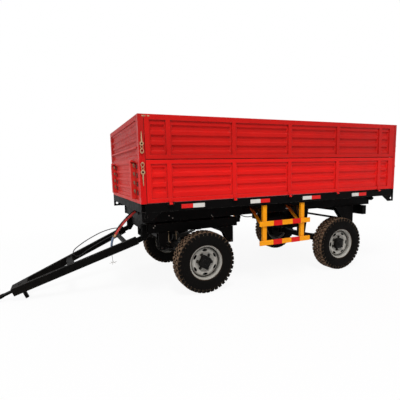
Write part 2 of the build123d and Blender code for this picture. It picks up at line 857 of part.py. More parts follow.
def make_leg():
    """Square stand leg with its foot, through the sleeve behind the drawbar's nose."""
    with BuildPart() as leg:
        with BuildSketch(drawbar_plane.offset(-leg_drop)):
            with Locations((leg_offset, 0)):
                Rectangle(leg_width, leg_width)
        extrude(amount=leg_drop + leg_stub)
    save(leg.part, "stand_leg")


# ---------------------------------------------------------------- tipping cylinder
def make_barrel():
    """Outer tube of the telescopic cylinder with its foot eye."""
    base = Plane(origin=foot, x_dir=(0, 1, 0), z_dir=cylinder_axis)
    with BuildPart() as barrel:
        with BuildSketch(base.offset(40)):
            RegularPolygon(cylinder_radius, cylinder_flats, major_radius=False)
        extrude(amount=closed_length - 130)
        with BuildSketch(base.offset(75)):
            RegularPolygon(cylinder_radius - cylinder_wall, cylinder_flats, major_radius=False)
        extrude(amount=closed_length, mode=Mode.SUBTRACT)
        with BuildSketch(across(foot.X, foot.Z)):
            RegularPolygon(38, 12)
            with Locations((cylinder_axis.X * 30, cylinder_axis.Z * 30)):
                Rectangle(60, 76, rotation=degrees(atan2(cylinder_axis.Z, cylinder_axis.X)))
        extrude(amount=60, both=True)
        with BuildSketch(across(foot.X, foot.Z)):
            Circle(cylinder_pin_radius + running_clearance)
        extrude(amount=70, both=True, mode=Mode.SUBTRACT)
    save(barrel.part, "cylinder_barrel")


def make_stages():
    """The rising stages, each inside the one before, the last with the head eye."""
    base = Plane(origin=foot, x_dir=(0, 1, 0), z_dir=cylinder_axis)
    for stage in range(1, cylinder_stages + 1):
        outer = cylinder_radius - cylinder_wall - 0.3 - (stage - 1) * stage_step
        start = 76 + stage * 4
        last = stage == cylinder_stages
        top = closed_length - 24 if last else closed_length - 90 + stage * 12
        with BuildPart() as tube:
            with BuildSketch(base.offset(start)):
                RegularPolygon(outer, cylinder_flats, major_radius=False)
            extrude(amount=top - start)
            if not last:
                with BuildSketch(base.offset(start + 3)):
                    RegularPolygon(outer - stage_step + 0.6, cylinder_flats, major_radius=False)
                extrude(amount=top, mode=Mode.SUBTRACT)
            else:
                with BuildSketch(across(head.X, head.Z)):
                    RegularPolygon(30, 12)
                extrude(amount=28, both=True)
                with BuildSketch(across(head.X, head.Z)):
                    Circle(cylinder_pin_radius + 5)
                extrude(amount=40, both=True, mode=Mode.SUBTRACT)
        save(tube.part, f"cylinder_stage_{stage}")


# ---------------------------------------------------------------- bed
def hinge_frames():
    """Planes at every hinge of the lower boards: origin on the axis, z along it, x out of the bed."""
    z = board_bottom - board_hinge_drop
    frames = []
    for side in sides.values():
        for rib in side_ribs:
            origin = (side_board_front_x - rib, side * (half_bed + board_hinge_out), z)
            frames.append(("side", side, Plane(origin=origin, x_dir=(0, side, 0), z_dir=(side, 0, 0))))
    for rib in gate_ribs:
        origin = (bed_rear_x - board_hinge_out, rib, z)
        frames.append(("gate", 0, Plane(origin=origin, x_dir=(-1, 0, 0), z_dir=(0, 1, 0))))
    return frames


def fixed_knuckle(frame):
    """The bed's half of a board hinge: two barrels with the pin, on a block against the rail."""
    reach = board_hinge_out + side_rail_inset + 1
    with BuildPart() as knuckle:
        for end in (1, -1):
            with BuildSketch(frame.offset(end * (board_hinge_length / 2 + 12))):
                RegularPolygon(board_hinge_barrel, 8, major_radius=False)
                with Locations((-reach / 2, -board_hinge_barrel / 2)):
                    Rectangle(reach, board_hinge_barrel)
            extrude(amount=10, both=True)
        with BuildSketch(frame):
            RegularPolygon(board_hinge_pin, pin_flats)
        extrude(amount=board_hinge_length / 2 + 12, both=True)
    return knuckle.part


def board_strap(frame):
    """The board's half of a hinge: a barrel on a strap up the board's face."""
    with BuildPart() as strap:
        with BuildSketch(frame):
            RegularPolygon(board_hinge_barrel, 8, major_radius=False)
            with Locations((-board_hinge_out / 2, board_hinge_barrel / 2)):
                Rectangle(board_hinge_out, board_hinge_barrel)
            with Locations((-board_hinge_out + 3, (board_hinge_drop + 60) / 2)):
                Rectangle(6, board_hinge_drop + 60)
            RegularPolygon(board_hinge_pin + running_clearance, pin_flats, major_radius=False, mode=Mode.SUBTRACT)
        extrude(amount=board_hinge_length / 2, both=True)
    return strap.part


def corner_bracket(x, way, side):
    """Plate under the corner of the bed, sloping up to the side rail, with a round hole."""
    foot_z = side_rail_bottom - bracket_drop
    rail_z = side_rail_bottom + 8
    with BuildPart() as bracket:
        with BuildSketch(Plane(origin=(x, side * (half_bed - 9), 0), x_dir=(1, 0, 0), z_dir=(0, -1, 0))):
            with BuildLine():
                Polyline(
                    (0, rail_z), (0, foot_z), (way * bracket_foot, foot_z),
                    (way * bracket_slope_end, side_rail_bottom), (way * side_rail_flange, side_rail_bottom),
                    (way * side_rail_flange, rail_z),
                    close=True,
                )
            make_face()
            with Locations((way * bracket_hole_inset, foot_z + bracket_drop / 2)):
                RegularPolygon(bracket_hole_radius, 12, mode=Mode.SUBTRACT)
        extrude(amount=bracket_thickness / 2, both=True)
    return bracket.part


def make_bed_frame():
    """Underframe: sub rails on the chassis, side rails with the hinges, and what crosses them."""
    with BuildPart() as sub_rails:
        for side in sides.values():
            add(
                channel_rail(
                    tip_x + 95, bed_front_x - side_rail_flange, chassis_half_width, side,
                    sub_rail_bottom, sub_rail_height, 50, 7,
                )
            )
    save(sub_rails.part, "bed_sub_rails")

    knuckles = [(kind, way, fixed_knuckle(frame)) for kind, way, frame in hinge_frames()]
    with BuildPart() as side_rails:
        for side in sides.values():
            add(
                channel_rail(
                    bed_rear_x + side_rail_flange, bed_front_x - side_rail_flange,
                    half_bed - side_rail_inset, side, side_rail_bottom, side_rail_height, side_rail_flange, 6,
                )
            )
        add([knuckle for kind, way, knuckle in knuckles if kind == "side"])
    save(side_rails.part, "bed_side_rails")

    spacing = bed_length / (bearer_count + 1)
    half_end = half_bed - side_rail_inset
    with BuildPart() as members:
        for index in range(bearer_count):
            x = bed_front_x - (index + 1) * spacing
            bearer_height = floor_bottom - bearer_bottom
            add(cross_channel(x, side_rail_inner, bearer_bottom, bearer_height, bearer_flange, 6))
        for x, way in ((bed_front_x - side_rail_flange / 2, 1), (bed_rear_x + side_rail_flange / 2, -1)):
            add(cross_channel(x, half_end, side_rail_bottom, side_rail_height, side_rail_flange, 6, way))
        for side in sides.values():
            add(corner_bracket(bed_front_x, -1, side))
            add(corner_bracket(bed_rear_x, 1, side))
            with BuildSketch(across(tip_x, tip_hinge_z, side * (chassis_half_width + 12))):
                Circle(tip_pin_radius + tip_lug_rim)
                with Locations((26, (side_rail_bottom + 10 - tip_hinge_z) / 2)):
                    Rectangle(76, side_rail_bottom + 10 - tip_hinge_z)
                Circle(tip_pin_radius + running_clearance, mode=Mode.SUBTRACT)
            extrude(amount=8, both=True)
        add([knuckle for kind, way, knuckle in knuckles if kind == "gate"])
        add(cylinder_bracket())
    save(members.part, "bed_cross_members")


def cylinder_bracket():
    """Cheeks and pin for the cylinder's head, on wings that lie on the sub rails."""
    cheek_y = 42
    cheek = 16
    wing = chassis_half_width - cheek_y
    with BuildPart() as bracket:
        for side in sides.values():
            with Locations((head.X, side * cheek_y, (head.Z - 38 + floor_bottom) / 2)):
                Box(80, cheek, floor_bottom - head.Z + 38)
            with Locations((head.X, side * (cheek_y + wing / 2), bearer_bottom + 8)):
                Box(80, wing, 16)
        with BuildSketch(across(head.X, head.Z)):
            Circle(cylinder_pin_radius)
        extrude(amount=cheek_y + cheek / 2, both=True)
    return bracket.part


def make_floor():
    """Load floor plate between the rails, notched round the corner posts."""
    front = bed_front_x - side_rail_flange
    rear = bed_rear_x + side_rail_flange
    post_inner = half_bed - post_width - floor_notch_gap
    notches = (
        (bed_front_x - post_front_depth - floor_notch_gap, front),
        (rear, bed_rear_x + post_rear_depth + floor_notch_gap),
    )
    with BuildPart() as floor:
        with BuildSketch(Plane(origin=(0, 0, floor_bottom))):
            with Locations(((front + rear) / 2, 0)):
                Rectangle(front - rear, 2 * side_rail_inner)
            for start, end in notches:
                for side in sides.values():
                    with Locations(((start + end) / 2, side * (post_inner + side_rail_inner) / 2)):
                        Rectangle(end - start, side_rail_inner - post_inner, mode=Mode.SUBTRACT)
        extrude(amount=floor_thickness)
    save(floor.part, "bed_floor")


def pressed_board(plane, length, height, stretches, groove_rows, top_rail=board_rail):
    """Board of pressed sheet between rails and ribs. The plane's x runs along the board from its
    lower corner, its y up, and its z out of the face. Stretches are (start, end) of the bays, and
    groove_rows the heights of the grooves' middles."""
    bay_height = height - board_rail - top_rail
    bay_middle = board_rail + bay_height / 2
    spots = [((start + end) / 2, row, end - start - 2 * groove_margin) for start, end in stretches
             for row in groove_rows]
    inner = plane.offset(-board_depth)
    sheet_back = plane.offset(-sheet_recess - board_skin)
    with BuildPart() as board:
        with BuildSketch(plane):
            with Locations((length / 2, height / 2)):
                Rectangle(length, height)
        extrude(amount=-board_depth)
        with BuildSketch(plane):
            for start, end in stretches:
                with Locations(((start + end) / 2, bay_middle)):
                    Rectangle(end - start, bay_height)
        extrude(amount=-sheet_recess, mode=Mode.SUBTRACT)
        with BuildSketch(inner):
            for start, end in stretches:
                with Locations(((start + end) / 2, bay_middle)):
                    Rectangle(end - start, bay_height)
        extrude(amount=board_depth - sheet_recess - board_skin, mode=Mode.SUBTRACT)
        with BuildSketch(sheet_back):
            for x, y, wide in spots:
                with Locations((x, y)):
                    Rectangle(wide + 2 * board_skin, groove_height + 2 * board_skin)
        extrude(amount=-groove_depth, taper=groove_taper)
        with BuildSketch(plane.offset(-sheet_recess)):
            for x, y, wide in spots:
                with Locations((x, y)):
                    Rectangle(wide, groove_height)
        extrude(amount=-groove_depth, taper=groove_taper, mode=Mode.SUBTRACT)
    return board.part


def bays_between(ribs, first, last):
    """Open stretches of a board, between its ribs and end stiles."""
    edges = [first]
    for rib in ribs:
        edges += [rib - rib_width / 2, rib + rib_width / 2]
    edges.append(last)
    return list(zip(edges[::2], edges[1::2]))


def rows_from(first, pitch=groove_pitch, count=3):
    """Heights of a board's grooves."""
    return [first + index * pitch for index in range(count)]


def top_pins(planes):
    """Pins that carry an upper board in the corner posts."""
    with BuildPart() as pins:
        for plane in planes:
            with BuildSketch(plane):
                RegularPolygon(top_pin_radius, pin_flats)
            extrude(amount=board_edge_gap + top_pin_length)
    return pins.part


def make_side_board(label, side, bottom, top, first_groove):
    """Side board: pressed sheet with its hinge straps, or with its top pins."""
    rear_x = side_board_front_x - side_board_length
    bays = bays_between(side_ribs, end_stile_front, side_board_length - end_stile_rear)
    plane = Plane(origin=(side_board_front_x, half_bed, bottom), x_dir=(-1, 0, 0), z_dir=(0, 1, 0))
    if side < 0:
        plane = Plane(origin=(rear_x, -half_bed, bottom), x_dir=(1, 0, 0), z_dir=(0, -1, 0))
        bays = [(side_board_length - end, side_board_length - start) for start, end in reversed(bays)]
    top_rail = crown_rail if top == bed_top else board_rail
    panel = pressed_board(plane, side_board_length, top - bottom, bays, rows_from(first_groove), top_rail)
    if bottom == board_bottom:
        fittings = [board_strap(frame) for kind, way, frame in hinge_frames() if way == side]
    else:
        y = side * (half_bed - top_pin_inset)
        z = bed_top - top_pin_drop
        ends = ((side_board_front_x, 1), (rear_x, -1))
        pin_planes = [Plane(origin=(x, y, z), x_dir=(0, 1, 0), z_dir=(way, 0, 0)) for x, way in ends]
        fittings = [top_pins(pin_planes)]
    with BuildPart() as board:
        add(panel)
        add(fittings)
    save(board.part, label)


def make_tailgate(label, bottom, top, first_groove):
    """Tail board between the rear posts, with its hinge straps, or with its top pins."""
    plane = Plane(origin=(bed_rear_x, gate_width / 2, bottom), x_dir=(0, -1, 0), z_dir=(-1, 0, 0))
    ribs = [gate_width / 2 + rib for rib in gate_ribs]
    bays = bays_between(ribs, gate_stile, gate_width - gate_stile)
    top_rail = crown_rail if top == bed_top else board_rail
    panel = pressed_board(plane, gate_width, top - bottom, bays, rows_from(first_groove), top_rail)
    if bottom == board_bottom:
        fittings = [board_strap(frame) for kind, way, frame in hinge_frames() if kind == "gate"]
    else:
        x = bed_rear_x + top_pin_inset
        z = bed_top - top_pin_drop
        planes = [
            Plane(origin=(x, way * gate_width / 2, z), x_dir=(1, 0, 0), z_dir=(0, way, 0))
            for way in sides.values()
        ]
        fittings = [top_pins(planes)]
    with BuildPart() as gate:
        add(panel)
        add(fittings)
    save(gate.part, label)


def make_headboard():
    """Fixed front board in two tiers, with a channel post near each end of the lower one."""
    width = bed_width - 2 * post_width
    plane = Plane(origin=(bed_front_x, -width / 2, floor_top), x_dir=(0, 1, 0), z_dir=(1, 0, 0))
    rows = rows_from(head_lower_row - floor_top, head_lower_pitch, head_rows)
    rows += rows_from(head_upper_row - floor_top, head_upper_pitch, head_rows)
    bays = [(gate_stile, width - gate_stile)]
    panel = pressed_board(plane, width, bed_top - floor_top, bays, rows, crown_rail)
    split = board_split_z - floor_top
    post_top = split - board_split_gap
    with BuildPart() as headboard:
        add(panel)
        with BuildSketch(plane.offset(-board_depth)):
            with Locations((width / 2, split)):
                Rectangle(width - 2 * gate_stile, head_band)
        extrude(amount=board_depth)
        with BuildSketch(plane.offset(-sheet_recess - board_skin)):
            for y in (head_post_inset, width - head_post_inset):
                with BuildLine():
                    Polyline(
                        (y - head_post_width / 2, board_rail),
                        (y - head_post_width / 2, post_top - head_post_width / 2),
                        (y, post_top),
                        (y + head_post_width / 2, post_top - head_post_width / 2),
                        (y + head_post_width / 2, board_rail),
                        close=True,
                    )
                make_face()
        extrude(amount=sheet_recess + board_skin + head_post_proud)
    save(headboard.part, "headboard")


def make_posts():
    """Four corner posts on the bed, bored for the top pins of the upper boards beside them."""
    bore = top_pin_radius + running_clearance
    pin_z = bed_top - top_pin_drop
    corners = (
        (bed_front_x - post_front_depth / 2, post_front_depth, -1),
        (bed_rear_x + post_rear_depth / 2, post_rear_depth, 1),
    )
    with BuildPart() as posts:
        for x, depth, board_way in corners:
            for side in sides.values():
                with Locations((x, side * (half_bed - post_width / 2), (floor_top + bed_top) / 2)):
                    Box(depth, post_width, bed_top - floor_top)
                bores = [
                    Plane(
                        origin=(x + board_way * depth / 2, side * (half_bed - top_pin_inset), pin_z),
                        x_dir=(0, 1, 0), z_dir=(-board_way, 0, 0),
                    )
                ]
                if board_way > 0:
                    bores.append(
                        Plane(
                            origin=(bed_rear_x + top_pin_inset, side * (half_bed - post_width), pin_z),
                            x_dir=(1, 0, 0), z_dir=(0, side, 0),
                        )
                    )
                for face in bores:
                    with BuildSketch(face):
                        RegularPolygon(bore, pin_flats, major_radius=False)
                    extrude(amount=top_pin_length + 1, mode=Mode.SUBTRACT)
    save(posts.part, "corner_posts")


def make_latches():
    """Over-centre latches: two on each front post's side face, two on each rear post's rear face."""
    with BuildPart() as latches:
        for side in sides.values():
            places = (
                Plane(
                    origin=(bed_front_x - post_front_depth / 2, side * half_bed, board_split_z),
                    x_dir=(0, 0, 1), z_dir=(0, side, 0),
                ),
                Plane(
                    origin=(bed_rear_x, side * (half_bed - post_width / 2), board_split_z),
                    x_dir=(0, 0, 1), z_dir=(-1, 0, 0),
                ),
            )
            for face in places:
                for way in (1, -1):
                    with BuildSketch(face):
                        with Locations((way * latch_block_offset, 0)):
                            Rectangle(latch_block_length, latch_block_width)
                    extrude(amount=latch_reach - 14)
                    with BuildSketch(face.offset(6)):
                        with Locations((way * latch_loop_offset, 0)):
                            Rectangle(latch_loop_length, latch_loop_width)
                        with Locations((way * latch_slot_offset, 0)):
                            Rectangle(latch_slot_length, latch_slot_width, mode=Mode.SUBTRACT)
                    extrude(amount=latch_plate)
                    with BuildSketch(face.offset(latch_reach - 14)):
                        with Locations((way * latch_lever_offset, 0)):
                            Rectangle(latch_lever_length, latch_lever_width)
                    extrude(amount=latch_plate)
    save(latches.part, "latches")


# ---------------------------------------------------------------- build
os.makedirs("parts", exist_ok=True)
place_wheels()
make_axle("front_axle", front_axle_x)
make_axle("rear_axle", rear_axle_x)
make_brakes("front_brakes", front_axle_x)
make_brakes("rear_brakes", rear_axle_x)
make_springs("front_springs", front_axle_x)
make_springs("rear_springs", rear_axle_x)
make_hangers("front_hangers", front_axle_x, bogie_bottom, front_gusset)
make_hangers("rear_hangers", rear_axle_x, chassis_bottom, rear_gusset)
make_chassis()
ring_height = (turntable_height - bearing_gap) / 2
make_ring("turntable_lower", bogie_top, ring_height)
make_ring("turntable_upper", chassis_bottom - ring_height, ring_height)
make_guards()
make_cylinder_cradle()
make_bogie()
make_drawbar()
make_eye()
make_leg()
make_cord("red_hose", red_hose_diameter, red_hose_route)
make_cord("grey_hose", grey_hose_diameter, grey_hose_route)
make_cord("hanging_wire", wire_diameter, wire_route)
make_cord("drawbar_cable", cable_diameter, cable_route)
make_barrel()
make_stages()
make_bed_frame()
make_floor()
make_headboard()
make_posts()
make_latches()
for side_name, side in sides.items():
    make_side_board(f"lower_board_{side_name}", side, board_bottom, lower_top, lower_first_groove)
    make_side_board(f"upper_board_{side_name}", side, upper_bottom, bed_top, upper_first_groove)
make_tailgate("lower_tailgate", board_bottom, lower_top, lower_first_groove)
make_tailgate("upper_tailgate", upper_bottom, bed_top, upper_first_groove)
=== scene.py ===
import math

import bmesh
import bpy
from mathutils import Matrix, Vector


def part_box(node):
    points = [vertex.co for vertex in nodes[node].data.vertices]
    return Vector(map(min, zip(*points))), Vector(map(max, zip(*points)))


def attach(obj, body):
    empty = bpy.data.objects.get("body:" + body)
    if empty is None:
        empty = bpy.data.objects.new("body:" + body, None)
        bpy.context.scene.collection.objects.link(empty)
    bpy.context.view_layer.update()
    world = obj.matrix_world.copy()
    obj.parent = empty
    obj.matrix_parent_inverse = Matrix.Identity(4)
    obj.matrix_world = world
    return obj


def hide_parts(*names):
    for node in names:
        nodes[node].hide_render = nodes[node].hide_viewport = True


# Looks of a farm dump trailer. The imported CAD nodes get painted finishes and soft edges. Detailed
# meshes stand for the wheels, cords and latches, and the small fittings are added around them.
# Metres, +X to the hitch, +Y to the trailer's left, +Z up.
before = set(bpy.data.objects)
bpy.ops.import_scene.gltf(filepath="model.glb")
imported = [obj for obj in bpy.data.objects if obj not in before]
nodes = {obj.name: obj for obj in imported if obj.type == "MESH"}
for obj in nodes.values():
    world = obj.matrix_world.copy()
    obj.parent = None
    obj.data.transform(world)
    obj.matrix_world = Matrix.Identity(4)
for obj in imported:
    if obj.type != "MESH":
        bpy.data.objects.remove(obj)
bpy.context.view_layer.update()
scene = bpy.context.scene
SIDES = (1, -1)              # left and right
X_AXIS, Y_AXIS = 0, 1

# ---- camera
CAMERA_PLACE = (2.055, 4.659, 1.575)
CAMERA_YAW = -0.4014
CAMERA_PITCH = -0.1304
CAMERA_ROLL = -0.0242
CAMERA_LENS = 29.74
CAMERA_SENSOR = 36
CAMERA_SHIFT = (-0.001, 0.035)


def add_camera():
    """Camera ahead of the left side, aimed by yaw, pitch and roll."""
    data = bpy.data.cameras.new("camera")
    data.lens = CAMERA_LENS
    data.sensor_width = CAMERA_SENSOR
    data.shift_x, data.shift_y = CAMERA_SHIFT
    camera = bpy.data.objects.new("camera", data)
    yaw = Matrix.Rotation(math.pi + CAMERA_YAW, 4, "Z")
    pitch = Matrix.Rotation(math.pi / 2 + CAMERA_PITCH, 4, "X")
    camera.matrix_world = at(*CAMERA_PLACE, yaw @ pitch @ Matrix.Rotation(CAMERA_ROLL, 4, "Z"))
    scene.collection.objects.link(camera)
    scene.camera = camera


# ---- materials
# Paints as a fresh and a darker tone.
RED = ((0.73, 0.006, 0.004), (0.62, 0.004, 0.003))
RED_UPPER = ((0.55, 0.006, 0.004), (0.44, 0.004, 0.003))
# The headboard's fresh tone is paler and pinker than the other reds: a painted reflection of the white sky on
# its front.
RED_HEADBOARD = ((0.6, 0.045, 0.036), (0.62, 0.004, 0.003))
RED_POSTS = ((0.6, 0.005, 0.006), (0.62, 0.004, 0.003))
BLACK = ((0.0026, 0.0022, 0.0022), (0.0015, 0.0015, 0.0015))
YELLOW = ((1.0, 0.38, 0.001), (0.86, 0.27, 0.002))
SILVER = ((0.43, 0.415, 0.38), (0.28, 0.265, 0.235))
RUBBER = ((0.0045, 0.0038, 0.0035), (0.002, 0.0018, 0.0015))
SPRING = ((0.01, 0.009, 0.009), (0.0015, 0.0015, 0.0015))
BOLT = ((0.34, 0.32, 0.29), (0.16, 0.15, 0.13))
ZINC = ((0.5, 0.29, 0.15), (0.26, 0.15, 0.08))
DULL_ZINC = ((0.28, 0.2, 0.12), (0.14, 0.1, 0.06))
BED_FLOOR = ((0.5, 0.01, 0.008), (0.34, 0.012, 0.01))
CHROME = ((0.5, 0.5, 0.5), (0.3, 0.3, 0.3))
RED_RUBBER = ((0.66, 0.04, 0.03), (0.46, 0.016, 0.014))
GREY_RUBBER = ((0.12, 0.17, 0.27), (0.07, 0.1, 0.16))
TAPE_WHITE = ((0.72, 0.7, 0.66), (0.6, 0.58, 0.54))
RED_SHADE = (0.36, 0.012, 0.01)
# DUST, ROAD_DIRT and BARE_STEEL also give the lighter tone of the edges, partly wear and partly a painted
# highlight.
DUST = (0.3, 0.25, 0.19)
ROAD_DIRT = (0.19, 0.12, 0.076)
BARE_STEEL = (0.3, 0.28, 0.26)

SHADE_SHARE = 0.6            # how much of the darker tone the slow changes bring
GRAIN_SHARE = 0.12
CORNER_SHADE_SHARE = 0.28             # painted shade in corners, as a share of the darker tone
LEDGE_SHARE = 0.8            # dust on level faces, against that near the ground
LOW_DUST = 0.1               # height at which the dust from the road is full
STREAK_STRETCH = (3.0, 3.0, 0.35)
SCRAPE_STRETCH = (0.5, 9.0, 1.0)
PEEL_SCALE = 420
PEEL_STRENGTH = 0.05
PEEL_DEPTH = 0.0006
GUARD_BLACK_INSIDE = 0.935   # distance from the middle at which the guards' yellow starts
OVERSPRAY_HEIGHTS = (0.9, 0.97)
HEADBOARD_HEIGHTS = (1.62, 1.95)


class Graph:
    """A node tree with short calls for its nodes."""

    def __init__(self, tree):
        self.tree = tree

    def put(self, socket, value):
        """Links a socket, or sets it to a number, a vector or a colour."""
        if isinstance(value, bpy.types.NodeSocket):
            self.tree.links.new(value, socket)
        else:
            socket.default_value = (*value, 1) if socket.type == "RGBA" else value

    def node(self, kind, inputs=None, **settings):
        made = self.tree.nodes.new("ShaderNode" + kind)
        for key, value in settings.items():
            setattr(made, key, value)
        for key, value in (inputs or {}).items():
            self.put(made.inputs[key], value)
        return made

    def ramp(self, value, low, high, start=0.0, end=1.0):
        inputs = {"Value": value, "From Min": low, "From Max": high, "To Min": start, "To Max": end}
        return self.node("MapRange", inputs, clamp=True).outputs["Result"]

    def mix(self, factor, first, second):
        made = self.node("Mix", {"Factor": factor, "A": first, "B": second}, data_type="RGBA")
        return made.outputs["Result"]

    def maths(self, operation, first, second=0.0):
        return self.node("Math", {0: first, 1: second}, operation=operation).outputs["Value"]

    def times(self, first, second):
        return self.maths("MULTIPLY", first, second)

    def part(self, vector, axis):
        return self.node("SeparateXYZ", {"Vector": vector}).outputs[axis]

    def seen_directly(self):
        """1 for rays from the camera, a reflection or clear material, and 0 for light on surfaces."""
        path = self.node("LightPath").outputs
        bent = self.maths("MAXIMUM", path["Is Glossy Ray"], path["Is Transmission Ray"])
        return self.maths("MAXIMUM", path["Is Camera Ray"], bent)


class Shader(Graph):
    """A material's node tree."""

    def __init__(self, name):
        self.material = bpy.data.materials.new(name)
        self.material.use_nodes = True
        super().__init__(self.material.node_tree)
        self.surface = self.tree.nodes["Principled BSDF"]
        self.texture = self.node("TexCoord")
        self.coords = self.texture.outputs["Object"]

    def set(self, name, value):
        self.put(self.surface.inputs[name], value)

    def noise(self, scale, detail, rough=0.55, stretch=None):
        vector = self.coords
        if stretch:
            vector = self.node("Mapping", {"Vector": vector, "Scale": stretch}).outputs["Vector"]
        inputs = {"Vector": vector, "Scale": scale, "Detail": detail, "Roughness": rough}
        return self.node("TexNoise", inputs).outputs["Fac"]

    def patches(self, scale, detail, low, high, start=0.0, end=1.0, rough=0.55, stretch=None):
        """Cloudy mask: noise spread between two of its levels."""
        return self.ramp(self.noise(scale, detail, rough, stretch), low, high, start, end)

    def bump(self, height, strength, distance, under):
        inputs = {"Height": height, "Strength": strength, "Distance": distance}
        if under:
            inputs["Normal"] = under
        return self.node("Bump", inputs).outputs["Normal"]

    def height(self):
        return self.part(self.coords, "Z")

    def normal(self):
        return self.node("NewGeometry").outputs["Normal"]

    def shade_mask_in_corners(self, distance):
        """1 deep in corners and grooves, 0 on open faces: the mask of the painted shade."""
        made = self.node("AmbientOcclusion", {"Distance": distance}, samples=6)
        return self.ramp(made.outputs["AO"], low=0.85, high=0.3)

    def rubbed_and_lit_edges(self, rounded):
        """1 along sharp edges, where the rounded normal leaves the true one: the mask of wear and painted
        highlight.
        """
        product = self.node("VectorMath", {0: self.normal(), 1: rounded}, operation="DOT_PRODUCT")
        return self.ramp(self.maths("SUBTRACT", 1.0, product.outputs["Value"]), low=0.004, high=0.05)


def paint(
    name, tones, rough, dust=0.25, dust_top=0.9, shine=0.25, edge=0.003, wear_and_highlight=0.5, bare_and_highlight_tone=DUST, over=None,
    corner_shade_amount=0.55, reach=0.045,
):
    """Sprayed paint: slow random tone changes, fine orange peel, worn edges painted lighter as a highlight,
    painted shade in corners and grooves, dust on ledges and low down.
    """
    fresh, dark = tones
    shader = Shader(name)
    shade = shader.patches(scale=2.6, detail=5, low=0.35, high=0.7)
    grain = shader.patches(scale=60, detail=3, low=0.4, high=0.65)
    base = shader.mix(shader.times(shade, SHADE_SHARE), fresh, dark)
    base = shader.mix(shader.times(grain, GRAIN_SHARE), base, dark)
    if over:
        base = over(shader, base)
    rounded = None
    if edge:
        rounded = shader.node("Bevel", {"Radius": edge}, samples=4).outputs["Normal"]
        # Edges partly worn and partly a painted highlight: they are mixed toward a lighter tone.
        edge_patches = shader.patches(scale=38, detail=5, low=0.46, high=0.62, rough=0.7)
        lit_worn_edges = shader.times(shader.rubbed_and_lit_edges(rounded), shader.times(edge_patches, wear_and_highlight))
        base = shader.mix(lit_worn_edges, base, bare_and_highlight_tone)
    # Painted shade: corners and grooves are darkened toward a deep tone of the paint.
    painted_corner_shade = tuple(channel * CORNER_SHADE_SHARE for channel in dark)
    base = shader.mix(shader.times(shader.shade_mask_in_corners(reach), corner_shade_amount), base, painted_corner_shade)
    streaks = shader.patches(9, 4, low=0.5, high=0.8, end=0.22, rough=0.6, stretch=STREAK_STRETCH)
    base = shader.mix(streaks, base, dark)
    ledge = shader.ramp(shader.part(shader.normal(), "Z"), low=0.5, high=1.0)
    low = shader.ramp(shader.height(), dust_top, LOW_DUST)
    cloud = shader.patches(scale=7, detail=6, low=0.38, high=0.72, rough=0.65)
    amount = shader.times(shader.maths("MAXIMUM", shader.times(ledge, LEDGE_SHARE), low), cloud)
    shader.set("Base Color", shader.mix(shader.times(amount, dust), base, DUST))
    gloss = shader.patches(scale=14, detail=5, low=0.3, high=0.75, start=rough - 0.06, end=rough + 0.12)
    shader.set("Roughness", gloss)
    shader.set("Specular IOR Level", shine)
    shader.set("Normal", shader.bump(shader.noise(PEEL_SCALE, 2), PEEL_STRENGTH, PEEL_DEPTH, rounded))
    return shader.material


def black_inside(shader, base):
    """Guards' arms behind the posts are black, like the chassis."""
    across = shader.maths("ABSOLUTE", shader.part(shader.coords, "Y"))
    inner = shader.ramp(across, GUARD_BLACK_INSIDE, GUARD_BLACK_INSIDE - 0.004)
    return shader.mix(inner, base, BLACK[0])


def red_above(shader, base):
    """Red overspray on the upper ends of the guards' braces."""
    return shader.mix(shader.ramp(shader.height(), *OVERSPRAY_HEIGHTS, end=0.8), base, RED_SHADE)


def painted_shade_above(shader, base):
    """Painted shade: deeper red on the headboard's upper tier and the upper parts of the corner posts, which
    leaves their lower parts looking more brightly lit.
    """
    return shader.mix(shader.ramp(shader.height(), *HEADBOARD_HEIGHTS, end=0.75), base, RED_SHADE)


def scuffed(shader, base):
    """Long scrapes of the load along the floor, down to a dull grey."""
    scrapes = shader.patches(5, 6, low=0.58, high=0.7, end=0.55, rough=0.6, stretch=SCRAPE_STRETCH)
    return shader.mix(scrapes, base, BARE_STEEL)


def road_dirt(shader, base):
    """Brown dust on and between the tread blocks."""
    across = shader.maths("ABSOLUTE", shader.part(shader.texture.outputs["Normal"], "Y"))
    tread = shader.ramp(across, low=0.82, high=0.45)
    cloud = shader.patches(scale=16, detail=6, low=0.3, high=0.62, start=0.25, rough=0.65)
    return shader.mix(shader.times(tread, cloud), base, ROAD_DIRT)


